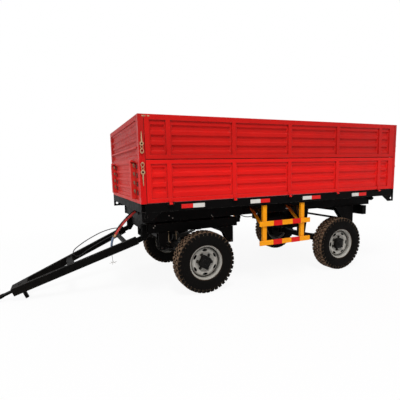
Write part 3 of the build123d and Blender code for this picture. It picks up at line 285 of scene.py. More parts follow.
def make_finishes():
    """A material for each CAD slot, and more for single nodes and pieces."""
    return {
        "red_paint": paint("red_paint_finish", RED, 0.34, dust=0.08, shine=0.16, wear_and_highlight=0.25, corner_shade_amount=0.85),
        "black_paint": paint("black_paint_finish", BLACK, 0.5, dust=0.02, shine=0.03, bare_and_highlight_tone=BARE_STEEL),
        "yellow_paint": paint("yellow_paint_finish", YELLOW, 0.4, dust=0.1, shine=0.15, over=black_inside),
        "silver_paint": paint(
            "silver_paint_finish", SILVER, 0.4, dust=0.2, shine=0.3, bare_and_highlight_tone=ROAD_DIRT, corner_shade_amount=0.85, reach=0.11
        ),
        "hub_black": paint(
            "hub_black_finish", BLACK, 0.35, dust=0.02, shine=0.07, bare_and_highlight_tone=BARE_STEEL, wear_and_highlight=0.2
        ),
        "tyre_rubber": paint("tyre_rubber_finish", RUBBER, 0.65, dust=0.0, shine=0.04, over=road_dirt),
        "spring_steel": paint("spring_steel_finish", SPRING, 0.5, dust=0.1, shine=0.1),
        "bright_bolt": paint("bright_bolt_finish", BOLT, 0.35, dust=0.2),
        "zinc_plate": paint("zinc_plate_finish", ZINC, 0.35, dust=0.1, shine=0.35),
        "floor_steel": paint("floor_steel_finish", BED_FLOOR, 0.5, dust=0.12, dust_top=3, over=scuffed),
        "chrome_rod": paint("chrome_rod_finish", CHROME, 0.2, dust=0.1),
        "red_hose": paint("red_hose_finish", RED_RUBBER, 0.3, shine=0.45, edge=0, corner_shade_amount=0.3),
        "blue_hose": paint("grey_hose_finish", GREY_RUBBER, 0.35, shine=0.45, edge=0),
        "black_hose": paint("black_hose_finish", BLACK, 0.4, dust=0.05, shine=0.2, edge=0),
        "yellow_brace": paint("yellow_brace_finish", YELLOW, 0.4, dust=0.1, shine=0.15, over=red_above),
        "dull_zinc": paint("dull_zinc_finish", DULL_ZINC, 0.5, dust=0.1, shine=0.2),
        "upper_red": paint("red_paint_upper", RED_UPPER, 0.36, dust=0.08, shine=0.14, wear_and_highlight=0.25, corner_shade_amount=0.85),
        "post_red": paint(
            "red_paint_posts", RED_POSTS, 0.36, dust=0.05, shine=0.1, wear_and_highlight=0.3, over=painted_shade_above
        ),
        "head_red": paint(
            "red_paint_headboard", RED_HEADBOARD, 0.42, dust=0.03, shine=0.05, wear_and_highlight=0.2, over=painted_shade_above
        ),
        "red_tape": paint("tape_red_finish", RED, 0.3),
        "white_tape": paint("tape_white_finish", TAPE_WHITE, 0.3),
    }


# The CAD slot of each finish that isn't named after one.
NODE_FINISHES = {
    "upper_board_left": "upper_red", "upper_board_right": "upper_red", "upper_tailgate": "upper_red",
    "headboard": "head_red", "corner_posts": "post_red",
}
SOFT_NODES = {               # by the width of their rounded edges
    0.002: ("side_guards", "stand_leg"),
    0.0025: (
        "lower_board_left", "lower_board_right", "upper_board_left", "upper_board_right",
        "lower_tailgate", "upper_tailgate", "headboard",
    ),
    0.003: ("corner_posts", "bed_side_rails", "hitch_eye", "chassis_rails"),
    0.004: ("drawbar_frame",),
}


def coat_nodes():
    """Gives every CAD node its finish, and soft edges to those that show most."""
    for name, node in nodes.items():
        slot = node.data.materials[0].name.split(".")[0]
        node.data.materials[0] = finishes[NODE_FINISHES.get(name, slot)]
    for width, names in SOFT_NODES.items():
        for name in names:
            add_soft_edges(nodes[name], width)


# ---- floor and light
FLOOR_REACH = 60
FLOOR_COLOUR = (0.82, 0.82, 0.82)
FLOOR_ROUGHNESS = 0.9
FLOOR_LIFT = 0.92            # white added where the floor is seen, so that it meets the background
FADE_FROM = 2.4              # metres from the middle where the floor starts to fade
FADE_TO = 6.5
SKY_LIGHT = 0.4
LAMPS = (                    # name, place, aim, size, power
    ("key", (1.6, 6.2, 10.5), (-0.6, 0.6, 1.2), 3.2, 900),
    ("front", (9, 1, 5), (0.5, 0, 1), 4, 190),
    ("back", (-6, -8, 7), (-0.8, 0, 1.2), 5, 300),
)


def add_lamp(name, place, aim, size, power):
    """Large soft square lamp aimed at a point."""
    data = bpy.data.lights.new(name, "AREA")
    data.shape = "SQUARE"
    data.size = size
    data.energy = power
    lamp = bpy.data.objects.new(name, data)
    lamp.location = place
    lamp.rotation_euler = (Vector(aim) - Vector(place)).to_track_quat("-Z", "Y").to_euler()
    scene.collection.objects.link(lamp)


def floor_material():
    """Pale floor that keeps the shadow nearby and fades into the white background further out."""
    shader = Shader("floor_finish")
    shader.set("Base Color", FLOOR_COLOUR)
    shader.set("Roughness", FLOOR_ROUGHNESS)
    shader.set("Specular IOR Level", 0.0)
    distance = shader.node("VectorMath", {0: shader.coords}, operation="LENGTH").outputs["Value"]
    fade = shader.ramp(distance, FADE_FROM, FADE_TO, FLOOR_LIFT, 1.0)
    share = shader.times(fade, shader.seen_directly())
    white = shader.node("Emission").outputs["Emission"]
    mixed = shader.node("MixShader", {0: share, 1: shader.surface.outputs["BSDF"], 2: white})
    shader.put(shader.tree.nodes["Material Output"].inputs["Surface"], mixed.outputs["Shader"])
    return shader.material


def add_stage():
    """Pale floor, white surroundings and soft lamps, none of them part of the object."""
    mesh = bpy.data.meshes.new("floor")
    corners = [(x * FLOOR_REACH, y * FLOOR_REACH, 0) for x, y in ((-1, -1), (1, -1), (1, 1), (-1, 1))]
    mesh.from_pydata(corners, [], [(0, 1, 2, 3)])
    mesh.materials.append(floor_material())
    floor = bpy.data.objects.new("floor", mesh)
    scene.collection.objects.link(floor)
    world = bpy.data.worlds.new("world")
    scene.world = world
    world.use_nodes = True
    graph = Graph(world.node_tree)
    sky = world.node_tree.nodes["Background"].inputs
    graph.put(sky["Color"], (1, 1, 1))
    graph.put(sky["Strength"], graph.ramp(graph.seen_directly(), 0, 1, start=SKY_LIGHT))
    for lamp in LAMPS:
        add_lamp(*lamp)
    scene.view_settings.view_transform = "Standard"


# ---- meshes
CORE = 0.001                 # inner radius of turned solids, which keeps their middle closed
WELD_DISTANCE = 0.00002
BEVEL_FROM_ANGLE = 40


class Form:
    """Closed simple shapes gathered into the mesh of one piece."""

    def __init__(self):
        self.mesh = bmesh.new()

    def loft(self, rings, closed=False):
        """Faces between rings of points, with flat ends unless the last ring meets the first."""
        made = [[self.mesh.verts.new(point) for point in ring] for ring in rings]
        pairs = list(zip(made, made[1:]))
        if closed:
            pairs.append((made[-1], made[0]))
        else:
            self.mesh.faces.new(made[0])
            self.mesh.faces.new(made[-1])
        for ring, following in pairs:
            for index in range(len(ring)):
                self.mesh.faces.new((ring[index - 1], ring[index], following[index], following[index - 1]))

    def box(self, low, high):
        """Box between two corners."""
        (x0, y0, z0), (x1, y1, z1) = low, high
        self.loft([[(x0, y0, z), (x1, y0, z), (x1, y1, z), (x0, y1, z)] for z in (z0, z1)])

    def prism(self, outline, place, low, high):
        """Outline of (x, y) pushed along z from low to high, in the frame of a matrix."""
        self.loft([[place @ Vector((x, y, z)) for x, y in outline] for z in (low, high)])

    def bar(self, axis, outline, low, high):
        """Outline of the two other coordinates pushed along an axis of the trailer."""
        self.loft([[point[:axis] + (along,) + point[axis:] for point in outline] for along in (low, high)])

    def turned(self, profile, place, steps=48):
        """Closed outline of (radius, z) turned about the z axis of a matrix."""
        self.loft([
            [place @ Vector((r * math.cos(a), r * math.sin(a), z)) for r, z in profile] for a in angles(steps)
        ], closed=True)

    def rod(self, start, end, radius, steps=12, bevel=0.0):
        """Round or faceted bar between two points."""
        place, length = line(start, end)
        stations = [(0, radius), (length, radius)]
        if bevel:
            stations = [
                (0, radius - bevel), (bevel, radius), (length - bevel, radius), (length, radius - bevel),
            ]
        self.loft([[place @ Vector((x, y, along)) for x, y in ellipse(r, r, steps)] for along, r in stations])

    def bent_bar(self, path, radius, steps=8, closed=False):
        """Round bar that follows a short list of points."""
        path = [Vector(point) for point in path]
        rings = []
        side = None
        for index, point in enumerate(path):
            before = path[index - 1] if index or closed else point
            after = path[(index + 1) % len(path)] if index < len(path) - 1 or closed else point
            along = (after - before).normalized()
            if side is None:
                side = along.orthogonal().normalized()
            side = (side - along * side.dot(along)).normalized()
            up = along.cross(side)
            rings.append([point + x * side + y * up for x, y in ellipse(radius, radius, steps)])
        self.loft(rings, closed)

    def to_mesh(self, name):
        bmesh.ops.recalc_face_normals(self.mesh, faces=self.mesh.faces)
        mesh = bpy.data.meshes.new(name)
        self.mesh.to_mesh(mesh)
        return mesh

    def finish(self, name, finish, body, stands_for=(), sharp=35, soften=0.0):
        """Turns the gathered shapes into a piece that rides on a body."""
        mesh = self.to_mesh(name)
        self.mesh.free()
        return add_piece(name, mesh, finish, body, stands_for, sharp, soften)


def smooth(points, steps=6):
    """Points of a smooth line through the given ones."""
    points = [Vector(point) for point in points]
    points = [points[0] * 2 - points[1]] + points + [points[-1] * 2 - points[-2]]
    path = []
    for before, start, end, after in zip(points, points[1:], points[2:], points[3:]):
        for step in range(steps):
            t = step / steps
            path.append(0.5 * (
                2 * start + (end - before) * t + (2 * before - 5 * start + 4 * end - after) * t * t
                + (3 * start - before - 3 * end + after) * t ** 3
            ))
    return path + [points[-2]]


def angles(steps):
    return [2 * math.pi * index / steps for index in range(steps)]


def ellipse(wide, high, steps=6):
    """Points of an ellipse, or a hexagon, with these half axes."""
    return [(wide * math.cos(a), high * math.sin(a)) for a in angles(steps)]


def washer(inner, outer, low, high):
    """Profile of a flat ring, to be turned."""
    return [(inner, low), (outer, low), (outer, high), (inner, high)]


def outward(side):
    """Turn that points z out of the trailer's left or right side."""
    return Matrix.Rotation(math.radians(-90 * side), 4, "X")


def at(x, y, z, turn=Matrix.Identity(4)):
    """Frame at a point, turned."""
    return Matrix.Translation((x, y, z)) @ turn


def pointing(direction):
    """Turn that points z along a direction."""
    return direction.to_track_quat("Z", "Y").to_matrix().to_4x4()


def line(start, end):
    """Frame at the start of a line with its z along it, and the line's length."""
    along = Vector(end) - Vector(start)
    return at(*start, pointing(along)), along.length


def mm(*points):
    """Points given in millimetres."""
    return [tuple(value / 1000 for value in point) for point in points]


def dress(piece, body, stands_for):
    """Links a piece, with its body and the CAD nodes that it stands for."""
    scene.collection.objects.link(piece)
    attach(piece, body)
    if stands_for:
        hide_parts(*stands_for)


def add_piece(name, mesh, finish, body, stands_for, sharp, soften):
    """Object of a mesh, smooth up to the sharp angle and with soft edges where a width is given."""
    mesh.materials.append(finishes[finish])
    mesh.shade_smooth()
    mesh.set_sharp_from_angle(angle=math.radians(sharp))
    piece = bpy.data.objects.new(name, mesh)
    if soften:
        add_soft_edges(piece, soften)
    dress(piece, body, stands_for)
    return piece


def add_soft_edges(piece, width):
    """Rounds the sharp edges of a piece or CAD node."""
    weld = piece.modifiers.new("weld", "WELD")
    weld.merge_threshold = WELD_DISTANCE
    bevel = piece.modifiers.new("soft_edges", "BEVEL")
    bevel.width = width
    bevel.segments = 2
    bevel.limit_method = "ANGLE"
    bevel.angle_limit = math.radians(BEVEL_FROM_ANGLE)


def add_bolt(form, place, size, head=0.6, tail=0.0):
    """Hexagon head on a washer, from a matrix whose z points out of the surface, with its bolt's end."""
    base = size * 0.14
    top = base + size * head
    form.turned(washer(CORE, size * 1.05, 0, base), place, 16)
    form.prism(ellipse(size * 0.9, size * 0.9), place, base, top)
    if tail:
        start, end = place @ Vector((0, 0, 0)), place @ Vector((0, 0, top + tail))
        form.rod(start, end, size * 0.5, 10, bevel=size * 0.08)


# ---- wheels
WHEEL_STEPS = 120
TREAD_RADIUS = 0.4025
TREAD_FLOOR = 0.3885
LUG_PITCHES = 40
LUG_SLANT = 0.22
VALVE_TURN = math.radians(-47)
HAND_HOLES = (6, -30, -0.158)         # count, first angle, distance from the axle
HAND_HOLE_HALF_AXES = (0.016, 0.034)
HUB_TURN = math.radians(-32)
HUB_SQUARE = (0.074, 0.042)           # half side and corner radius
CAP_BOLTS = (4, 13, 0.037, 0.0764)    # as the hand holes, and out to the cap's face
NUTS = (6, -8, 0.1025)
WHEEL_SPINS = {"front_left": 0, "front_right": 47, "rear_left": 31, "rear_right": 12}
FACE_OUT = outward(1)


def around(count, first, reach, along=0.0):
    """Frames that face out of a wheel, spread evenly from a first angle in degrees."""
    for index in range(count):
        turn = Matrix.Rotation(math.radians(first + 360 / count * index), 4, "Y")
        yield turn @ at(-reach, along, 0, FACE_OUT)


def mirror(points):
    """The same (radius, along) points on a wheel's other side, in reverse order."""
    return [(radius, -along) for radius, along in reversed(points)]


def add_lug(form, turn, outline, foot, crown, slant):
    """Tread block: an outline of (across, radius), wider at its foot than at its crown."""
    place = Matrix.Rotation(turn, 4, "Y")
    middle = sum(across for across, radius in outline) / len(outline)
    rings = []
    for side in (-1, 1):
        ring = []
        for across, radius in outline:
            share = (radius - TREAD_FLOOR) / (TREAD_RADIUS - TREAD_FLOOR)
            half = (foot + (crown - foot) * max(0.0, min(1.0, share))) / 2
            skew = math.tan(slant) * (across - middle)
            ring.append(place @ Vector((side * half + skew, across, radius)))
        rings.append(ring)
    form.loft(rings)


def tyre_form():
    """Carcass with rings on its sidewalls, shoulder blocks, two staggered middle rows and a valve."""
    form = Form()
    half = mm(
        (206, 62), (216.5, 68), (221.5, 77), (227.5, 85.5), (236, 92.5), (247, 98), (250, 100.5),
        (254.5, 101.5), (258, 101), (270, 104.5), (286, 106.8), (303, 107.5), (320, 106.6), (333, 104.8),
        (337, 105.6), (340, 104.6), (352, 100.5), (364, 94.5), (374, 87.5), (381.5, 79), (386, 66), (388, 45),
    ) + [(TREAD_FLOOR, 0.015)]
    inner = mm((370, 60), (330, 96), (290, 98.5), (245, 90), (215, 56))
    form.turned(half + mirror(half) + mirror(inner) + inner, FACE_OUT, WHEEL_STEPS)
    shoulder = mm(
        (46, 384), (47.5, 401.5), (70, 402.5), (88, 399.5), (98.5, 392), (104, 378), (105, 364), (100.5, 356),
        (88, 364),
    )
    middle = mm((3, 384), (4.5, 402.5), (38.5, 402), (40, 384))
    fin = mm((100, 350), (106.6, 352), (106.2, 366), (98, 368))
    blocks = (               # outline, pitches round, length of foot and crown, slant
        (shoulder, 0.0, 0.044, 0.036, 0.0),
        (middle, 0.5, 0.044, 0.037, LUG_SLANT),
        (fin, 0.5, 0.009, 0.007, 0.0),
    )
    for index in range(LUG_PITCHES):
        for side, start in ((1, 0.25), (-1, 0.75)):
            for outline, shift, foot, crown, slant in blocks:
                turn = 2 * math.pi / LUG_PITCHES * (index + start + shift)
                add_lug(form, turn, [(side * y, r) for y, r in outline], foot, crown, side * slant)
    out = Vector((-math.cos(VALVE_TURN), 0, math.sin(VALVE_TURN)))
    for radius, *ends in (
        (0.0045, (0.186, 0.02), (0.176, 0.062)), (0.0055, (0.176, 0.06), (0.173, 0.072)),
    ):
        form.rod(*(out * reach + Vector((0, along, 0)) for reach, along in ends), radius, 10)
    return form


def rim_form():
    """Welded steel rim: rolled barrel with a lip, and a dished disc with hand holes."""
    disc = Form()
    disc.turned(mm(
        (201.5, 2), (197.5, 8), (192.5, 20), (185.5, 31), (174, 38), (157, 40.5), (140.5, 38.5), (130, 31.5),
        (121.5, 25.5), (113, 23), (70, 23), (70, 15), (115, 15), (125, 18.5), (135, 26), (143, 31),
        (157, 32.5), (171, 30.5), (180, 24), (187, 12), (192.5, 0), (201.5, -5),
    ), FACE_OUT, WHEEL_STEPS)
    oval = ellipse(*HAND_HOLE_HALF_AXES, 32)
    cutters = Form()
    for place in around(*HAND_HOLES):
        cutters.prism(oval, place, -0.03, 0.07)
    form = Form()
    mesh = cut(disc, cutters)
    form.mesh.from_mesh(mesh)
    bpy.data.meshes.remove(mesh)
    form.turned(mm(
        (225.5, 80), (225, 83.5), (222.5, 84.8), (219, 83.8), (216.5, 80), (215, 74), (211, 69.5), (206, 67),
        (203.5, 60), (202.5, 45), (201.8, 38.5), (201.5, 30), (201, 10), (200.5, -10), (199, -30),
        (197.5, -60), (211, -69), (216.5, -79), (219, -83.5), (222.5, -84), (225.5, -80), (221, -77),
        (218, -69), (206, -64), (205.5, -35), (205.5, -8), (206, 12), (206.2, 34), (206.8, 48), (207.5, 62),
        (218, 68), (221, 77),
    ), FACE_OUT, WHEEL_STEPS)
    return form


def cut(form, cutters):
    """Mesh of one form with the other taken away."""
    objects = []
    for gathered in (form, cutters):
        made = bpy.data.objects.new("cut", gathered.to_mesh("cut"))
        gathered.mesh.free()
        scene.collection.objects.link(made)
        objects.append(made)
    solid, tool = objects
    step = solid.modifiers.new("cut", "BOOLEAN")
    step.operation = "DIFFERENCE"
    step.object = tool
    bpy.context.view_layer.update()
    result = bpy.data.meshes.new_from_object(solid.evaluated_get(bpy.context.evaluated_depsgraph_get()))
    for made in objects:
        mesh = made.data
        bpy.data.objects.remove(made)
        bpy.data.meshes.remove(mesh)
    return result


def rounded_square(half, corner, steps=6):
    """Outline of a square with round corners."""
    points = []
    for quarter in range(4):
        x_way = 1 if quarter in (0, 3) else -1
        y_way = 1 if quarter in (0, 1) else -1
        for step in range(steps + 1):
            a = math.pi / 2 * (quarter + step / steps)
            x = (half - corner) * x_way + corner * math.cos(a)
            y = (half - corner) * y_way + corner * math.sin(a)
            points.append((x, y))
    return points


def hub_form():
    """Cast hub with its bolted cap, and the brake drum with its dust shield behind the disc."""
    form = Form()
    cap = mm((1, 84.5), (20, 84.5), (25, 82.5), (27, 78), (40, 76.5), (47, 72), (50, 64), (1, 64))
    form.turned(cap, FACE_OUT, 32)
    square = rounded_square(*HUB_SQUARE)
    turn = FACE_OUT @ Matrix.Rotation(HUB_TURN, 4, "Z")
    form.loft([
        [turn @ Vector((x * share, y * share, along)) for x, y in square]
        for share, along in (
            (1.0, 0.0232), (1.06, 0.03), (1.06, 0.052), (1.0, 0.062), (0.86, 0.068), (0.7, 0.07),
        )
    ])
    drum = mm(
        (56, 14), (99, 14), (100, 12), (100, -10), (146, -12), (150, -16), (150, -42), (147, -45), (147, -90),
        (150, -94), (150, -104), (138, -104.5), (137, -22), (56, -21),
    )
    form.turned(drum, FACE_OUT, 60)
    form.turned(mm((144, -12.5), (184, -15), (185, -17), (184, -19), (144, -17)), FACE_OUT, 60)
    for place in around(*CAP_BOLTS):
        add_bolt(form, place, 0.0055, 0.5)
    for place in around(*NUTS):
        form.turned(mm((15, 22.5), (21.5, 22.5), (20.5, 25), (15, 25)), place, 24)
    return form


def nuts_form():
    """Wheel nuts with cone seats on the ends of their studs."""
    form = Form()
    for place in around(*NUTS):
        form.turned(mm((1, 22.8), (15, 22.8), (13.5, 27.5), (1, 27.5)), place, 24)
        form.prism(ellipse(0.013, 0.013), place, 0.0275, 0.04)
        form.rod(place @ Vector((0, 0, 0.027)), place @ Vector((0, 0, 0.052)), 0.007, 12, bevel=0.001)
    return form


def add_wheels():
    """Four wheels from one set of meshes."""
    kinds = (                # name, form, finish, sharp angle, soft edge
        ("tyre", tyre_form(), "tyre_rubber", 38, 0.0014),
        ("rim", rim_form(), "silver_paint", 40, 0.0),
        ("hub", hub_form(), "hub_black", 30, 0.0012),
        ("nuts", nuts_form(), "spring_steel", 30, 0.0006),
    )
    for kind, form, finish, sharp, soften in kinds:
        for place, spin in WHEEL_SPINS.items():
            low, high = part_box(f"tyre_{place}")
            turn = Matrix.Rotation(math.radians(spin), 4, "Y")
            if place.endswith("right"):
                turn = Matrix.Rotation(math.pi, 4, "Z") @ turn
            name = f"{kind}_detail_{place}"
            mesh = form.to_mesh(name)
            mesh.transform(at(*(low + high) / 2, turn))
            stands_for = () if kind == "nuts" else (f"{kind}_{place}",)
            add_piece(name, mesh, finish, f"wheel_{place}", stands_for, sharp, soften)
        form.mesh.free()


# ---- cords
HOSE_Y = 0.3
RED_HOSE_ROUTE = [(x, HOSE_Y, z) for x, z in (
    (1.148, 1.059), (1.225, 1.003), (1.318, 0.912), (1.388, 0.828), (1.44, 0.748),
)]
GREY_HOSE_ROUTE = [(x, HOSE_Y, z) for x, z in (
    (1.44, 0.748), (1.4556, 0.724), (1.469, 0.688), (1.477, 0.646), (1.48, 0.598), (1.4805, 0.552),
)]
WIRE_ROUTE = [(x, HOSE_Y, z) for x, z in ((1.4805, 0.5517), (1.481, 0.51), (1.477, 0.458), (1.472, 0.41))]
CABLE_ROUTE = mm(
    (1275, -432, 735), (1335, -414, 742), (1438, -388, 727), (1539, -362, 704),
    (1680, -326, 647), (1792, -298, 593), (1874, -276, 543), (1922, -262, 508),
    (1944, -232, 470), (1926, -212, 432), (1872, -218, 416), (1806, -244, 446),
    (1700, -278, 506), (1560, -314, 566), (1430, -346, 618), (1345, -366, 650),
)
LINE_RADIUS = 0.0065
STRAND_RADIUS = 0.0018


def add_cord(name, route, diameter, finish, body, node):
    """Smooth hose or cable along the same points as its CAD solid."""
    curve = bpy.data.curves.new(name, "CURVE")
    curve.dimensions = "3D"
    curve.resolution_u = 16
    curve.bevel_depth = diameter / 2
    curve.bevel_resolution = 6
    curve.use_fill_caps = True
    spline = curve.splines.new("NURBS")
    spline.points.add(len(route) - 1)
    for point, place in zip(spline.points, route):
        point.co = (*place, 1)
    spline.order_u = 3
    spline.use_endpoint_u = True
    curve.materials.append(finishes[finish])
    piece = bpy.data.objects.new(name, curve)
    dress(piece, body, (node,))
    return piece


def fitting(name, start, end, profile):
    """Turned fitting about the line from start to end; its profile is (radius, share of the line)."""
    place, length = line(start, end)
    form = Form()
    form.turned([(radius, share * length) for radius, share in profile], place, 24)
    return form.finish(name, "zinc_plate", "chassis", sharp=30)


def add_tied_line():
    """Thin line tied to the red sleeve by two bands."""
    form = Form()
    route = smooth([
        (1.166, 0.322, 1.072), (1.243, 0.323, 1.016), (1.337, 0.323, 0.925), (1.405, 0.321, 0.842),
        (1.446, 0.318, 0.779), (1.452, 0.306, 0.735), (1.452, 0.29, 0.7),
    ])
    form.bent_bar(route, LINE_RADIUS, 10)
    for index, share in ((1, 0.35), (2, 0.45)):
        here, there = Vector(RED_HOSE_ROUTE[index]), Vector(RED_HOSE_ROUTE[index + 1])
        middle = here.lerp(there, share) + Vector((0, 0.004, 0.004))
        form.turned(washer(0.0265, 0.0285, -0.003, 0.003), at(*middle, pointing(there - here)), 32)
    form.finish("tied_line", "black_hose", "chassis", sharp=50)


def add_wire_strands():
    """Frayed strands at the lower end of the hanging wire."""
    strands = Form()
    end = Vector(WIRE_ROUTE[-1])
    start = end + Vector((0, 0, 0.006))
    for out, rise in mm((-52, 6), (46, -4), (-34, -16), (26, 14), (8, -26)):
        bend = end + Vector((out * 0.35, 0, rise * 0.1 - 0.006))
        tip = end + Vector((out, out * 0.3, rise - 0.008))
        strands.bent_bar([start, end, bend, tip], STRAND_RADIUS, 6)
    strands.finish("wire_strands", "dull_zinc", "chassis", sharp=60)


def add_cords():
    """Brake hose in its red sleeve, its grey end, the bare wire below it, and the drawbar's cable."""
    ferrule = fitting("hose_ferrule", (1.4215, 0.300, 0.7765), (1.4440, 0.300, 0.7418), (
        (0.014, 0), (0.0212, 0), (0.0222, 0.08), (0.0222, 0.34), (0.0208, 0.42), (0.0222, 0.5),
        (0.0222, 0.92), (0.0205, 1), (0.014, 1),
    ))
    union = fitting("hose_union", (1.4802, 0.300, 0.5900), (1.4805, 0.300, 0.5530), (
        (0.004, 0), (0.016, 0), (0.0172, 0.06), (0.0172, 0.42), (0.015, 0.5), (0.015, 0.62),
        (0.0165, 0.68), (0.0165, 0.94), (0.015, 1), (0.004, 1),
    ))
    add_tied_line()
    add_wire_strands()
    red = add_cord("hose_sleeve", RED_HOSE_ROUTE, 0.040, "red_hose", "chassis", "red_hose")
    grey = add_cord("hose_end", GREY_HOSE_ROUTE, 0.030, "blue_hose", "chassis", "grey_hose")
    wire = add_cord("loose_wire", WIRE_ROUTE, 0.005, "black_hose", "chassis", "hanging_wire")
    cable = add_cord("drawbar_cable_detail", CABLE_ROUTE, 0.013, "black_hose", "drawbar", "drawbar_cable")


# ---- latches
SEAM_Z = 1.712
LATCH_FROM_FRONT = 0.033
LATCH_FROM_SIDE = 0.03
LATCH_BACK = 0.006
HOLE_SHADE_FRONT = 0.0072
LEVER_FRONT = 0.0165
LINK_OUT = 0.0105
HOOK_RADIUS = 0.0045
LATCHES = (                  # boss from the seam, its radius, radius of the black disc painted as shade in its hole, links, lever's tip, its way
    (0.173, 0.0225, 0.01, ((0.137, 0.019, 0.0125, 0.0036), (0.092, 0.024, 0.017, 0.0045)), 0.304, 1),
    (-0.14, 0.025, 0.0112, ((-0.1, 0.018, 0.012, 0.0036), (-0.056, 0.024, 0.017, 0.0045)), -0.293, -1),
)


def latch(form, place, boss, radius, links, tip, way):
    """Over-centre latch: a pointed lever with a ring boss, and the links that it pulls.

    place's x runs up the post and its z stands out from it; way is 1 where the lever points up.
    Each link has a middle, a half length, a half width and the radius of its bar.
    """
    centre = place @ at(boss, 0, 0)
    hole = radius * 0.45
    form.turned(washer(CORE, radius * 0.8, 0, LATCH_BACK), centre, 32)
    form.turned([
        (hole, LATCH_BACK), (radius, LATCH_BACK), (radius, 0.015), (radius - 0.0025, 0.0175),
        (hole + 0.002, 0.0175), (hole, 0.015),
    ], centre, 32)
    start = boss + way * radius * 0.9
    edge = [(start, 0.008), (start + way * 0.035, 0.0062), (tip - way * 0.02, 0.0036), (tip, 0.0014)]
    lever = [(up, -across) for up, across in edge] + edge[::-1]
    form.prism(lever, place, LATCH_BACK, LEVER_FRONT)
    for middle, long, wide, bar in links:
        loop = [place @ Vector((middle + up, across, LINK_OUT)) for up, across in ellipse(long, wide, 32)]
        form.bent_bar(loop, bar, 10, closed=True)
    hook = links[-1][0] - way * 0.008
    path = ((hook, 0.0), (hook, 0.01), (hook - way * 0.006, 0.016), (hook - way * 0.016, 0.015))
    form.bent_bar([place @ Vector((up, 0, out)) for up, out in path], HOOK_RADIUS)


def add_latches():
    """Latches on the front posts' side faces and the rear posts' rear faces, with a black disc of painted
    shade in the hole of each boss.
    """
    form = Form()
    hole_shade_discs = Form()
    low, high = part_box("corner_posts")
    rearward = Matrix(((0, 0, -1), (0, 1, 0), (1, 0, 0))).to_4x4()
    for side in SIDES:
        sideways = Matrix(((0, side, 0), (0, 0, side), (1, 0, 0))).to_4x4()
        for place in (
            at(high.x - LATCH_FROM_FRONT, side * high.y, SEAM_Z, sideways),
            at(low.x, side * (high.y - LATCH_FROM_SIDE), SEAM_Z, rearward),
        ):
            for boss, radius, shade_radius, links, tip, way in LATCHES:
                latch(form, place, boss, radius, links, tip, way)
                # Painted shade: a black disc at the bottom of the boss's hole stands for the shadow inside
                # it.
                hole_shade_discs.turned(washer(CORE, shade_radius, LATCH_BACK, HOLE_SHADE_FRONT), place @ at(boss, 0, 0), 24)
    form.finish("latch_detail", "zinc_plate", "bed", ("latches",), 40, 0.0008)
    hole_shade_discs.finish("latch_hole_shades", "black_paint", "bed")


# ---- tapes and bands
PAINT_SKIN = 0.0008
RAIL_FACE_Y = 1.0095
TAPE_HALF_HEIGHT = 0.025
TAPE_GAP = 0.0005
TAPE_Z = 1.164
TAPES = (                    # front end, change of colour, rear end, and whether the red half is in front
    (0.745, 0.597, 0.444, True), (-0.199, -0.3525, -0.498, False), (-1.042, -1.201, -1.359, False),
    (-1.961, -2.1, -2.257, False),
)
GUARD_DEPTH = 0.016
GUARD_HEIGHT = 0.066
GUARD_BANDS = {              # by the bottom of the guard's rail: front and rear end of each red band
    0.817: ((-0.569, -0.71), (-0.882, -1.022)),
    0.557: ((-0.562, -0.708), (-0.864, -1.008)),
}


def add_tapes():
    """Red and white reflective tapes on the outer faces of the side rails."""
    forms = {True: Form(), False: Form()}
    for side in SIDES:
        for front, split, rear, red_first in TAPES:
            for first, last, red in ((front, split, red_first), (split, rear, not red_first)):
                forms[red].box(
                    (last + TAPE_GAP, side * (RAIL_FACE_Y - PAINT_SKIN), TAPE_Z - TAPE_HALF_HEIGHT),
                    (first - TAPE_GAP, side * (RAIL_FACE_Y + PAINT_SKIN), TAPE_Z + TAPE_HALF_HEIGHT),
                )
    forms[True].finish("tape_red", "red_tape", "bed")
    forms[False].finish("tape_white", "white_tape", "bed")


def add_guard_bands():
    """Red bands painted across the side guards' rails."""
    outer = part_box("side_guards")[1].y
    form = Form()
    for side in SIDES:
        for bottom, bands in GUARD_BANDS.items():
            for front, rear in bands:
                form.box(
                    (rear, side * (outer - GUARD_DEPTH - PAINT_SKIN), bottom - PAINT_SKIN),
                    (front, side * (outer + PAINT_SKIN), bottom + GUARD_HEIGHT + PAINT_SKIN),
                )
    form.finish("guard_bands", "red_paint", "chassis")


# ---- headboard and boards
HEAD_POST_Y = 0.721
HEAD_POST_HALF = 0.039
HEAD_POST_FACE_X = 1.263
HEAD_FACE_X = 1.223
HEAD_LEDGE_HALF = 0.915
ROPE_HOOK_HEIGHTS = (1.65, 1.552, 1.45, 1.352)
ROPE_HOOK_PATH = mm(         # forwards, out of the post's flank, up
    (1236, -1, 12), (1236, 12, 12), (1235, 21, 2), (1234, 21, -12),
    (1232, 14, -22), (1230, 4, -19),
)
ROPE_HOOK_RADIUS = 0.0045
RIBS = (0.878, 0.032, -0.814, -1.66, -2.506)
HINGE_Y = 1.0295
HINGE_Z = 1.204
HINGE_RODS = (               # ends from the rib, radius, sides, bevel
    (-0.021, 0.021, 0.0128, 16, 0.002), (0.021, 0.027, 0.0085, 12, 0.0015),
    (-0.021, -0.027, 0.0085, 12, 0.0015),
)
WELD_FACE_Y = 1.0128
WELD_Z = 2.184
WELD_SPOTS = ((1.16, 0.017), (1.14, 0.009), (1.101, 0.014))
WELD_HALF_HEIGHT = 0.008
SPLIT_LIPS = {               # node, body and the shift of the lip from the middle of the board
    "left": ("upper_board_left", "side_upper_left", (0, 0.012)),
    "right": ("upper_board_right", "side_upper_right", (0, -0.012)),
    "rear": ("upper_tailgate", "gate_upper", (-0.012, 0)),
}
LIP_HALF = 0.004
LIP_END_GAP = 0.045


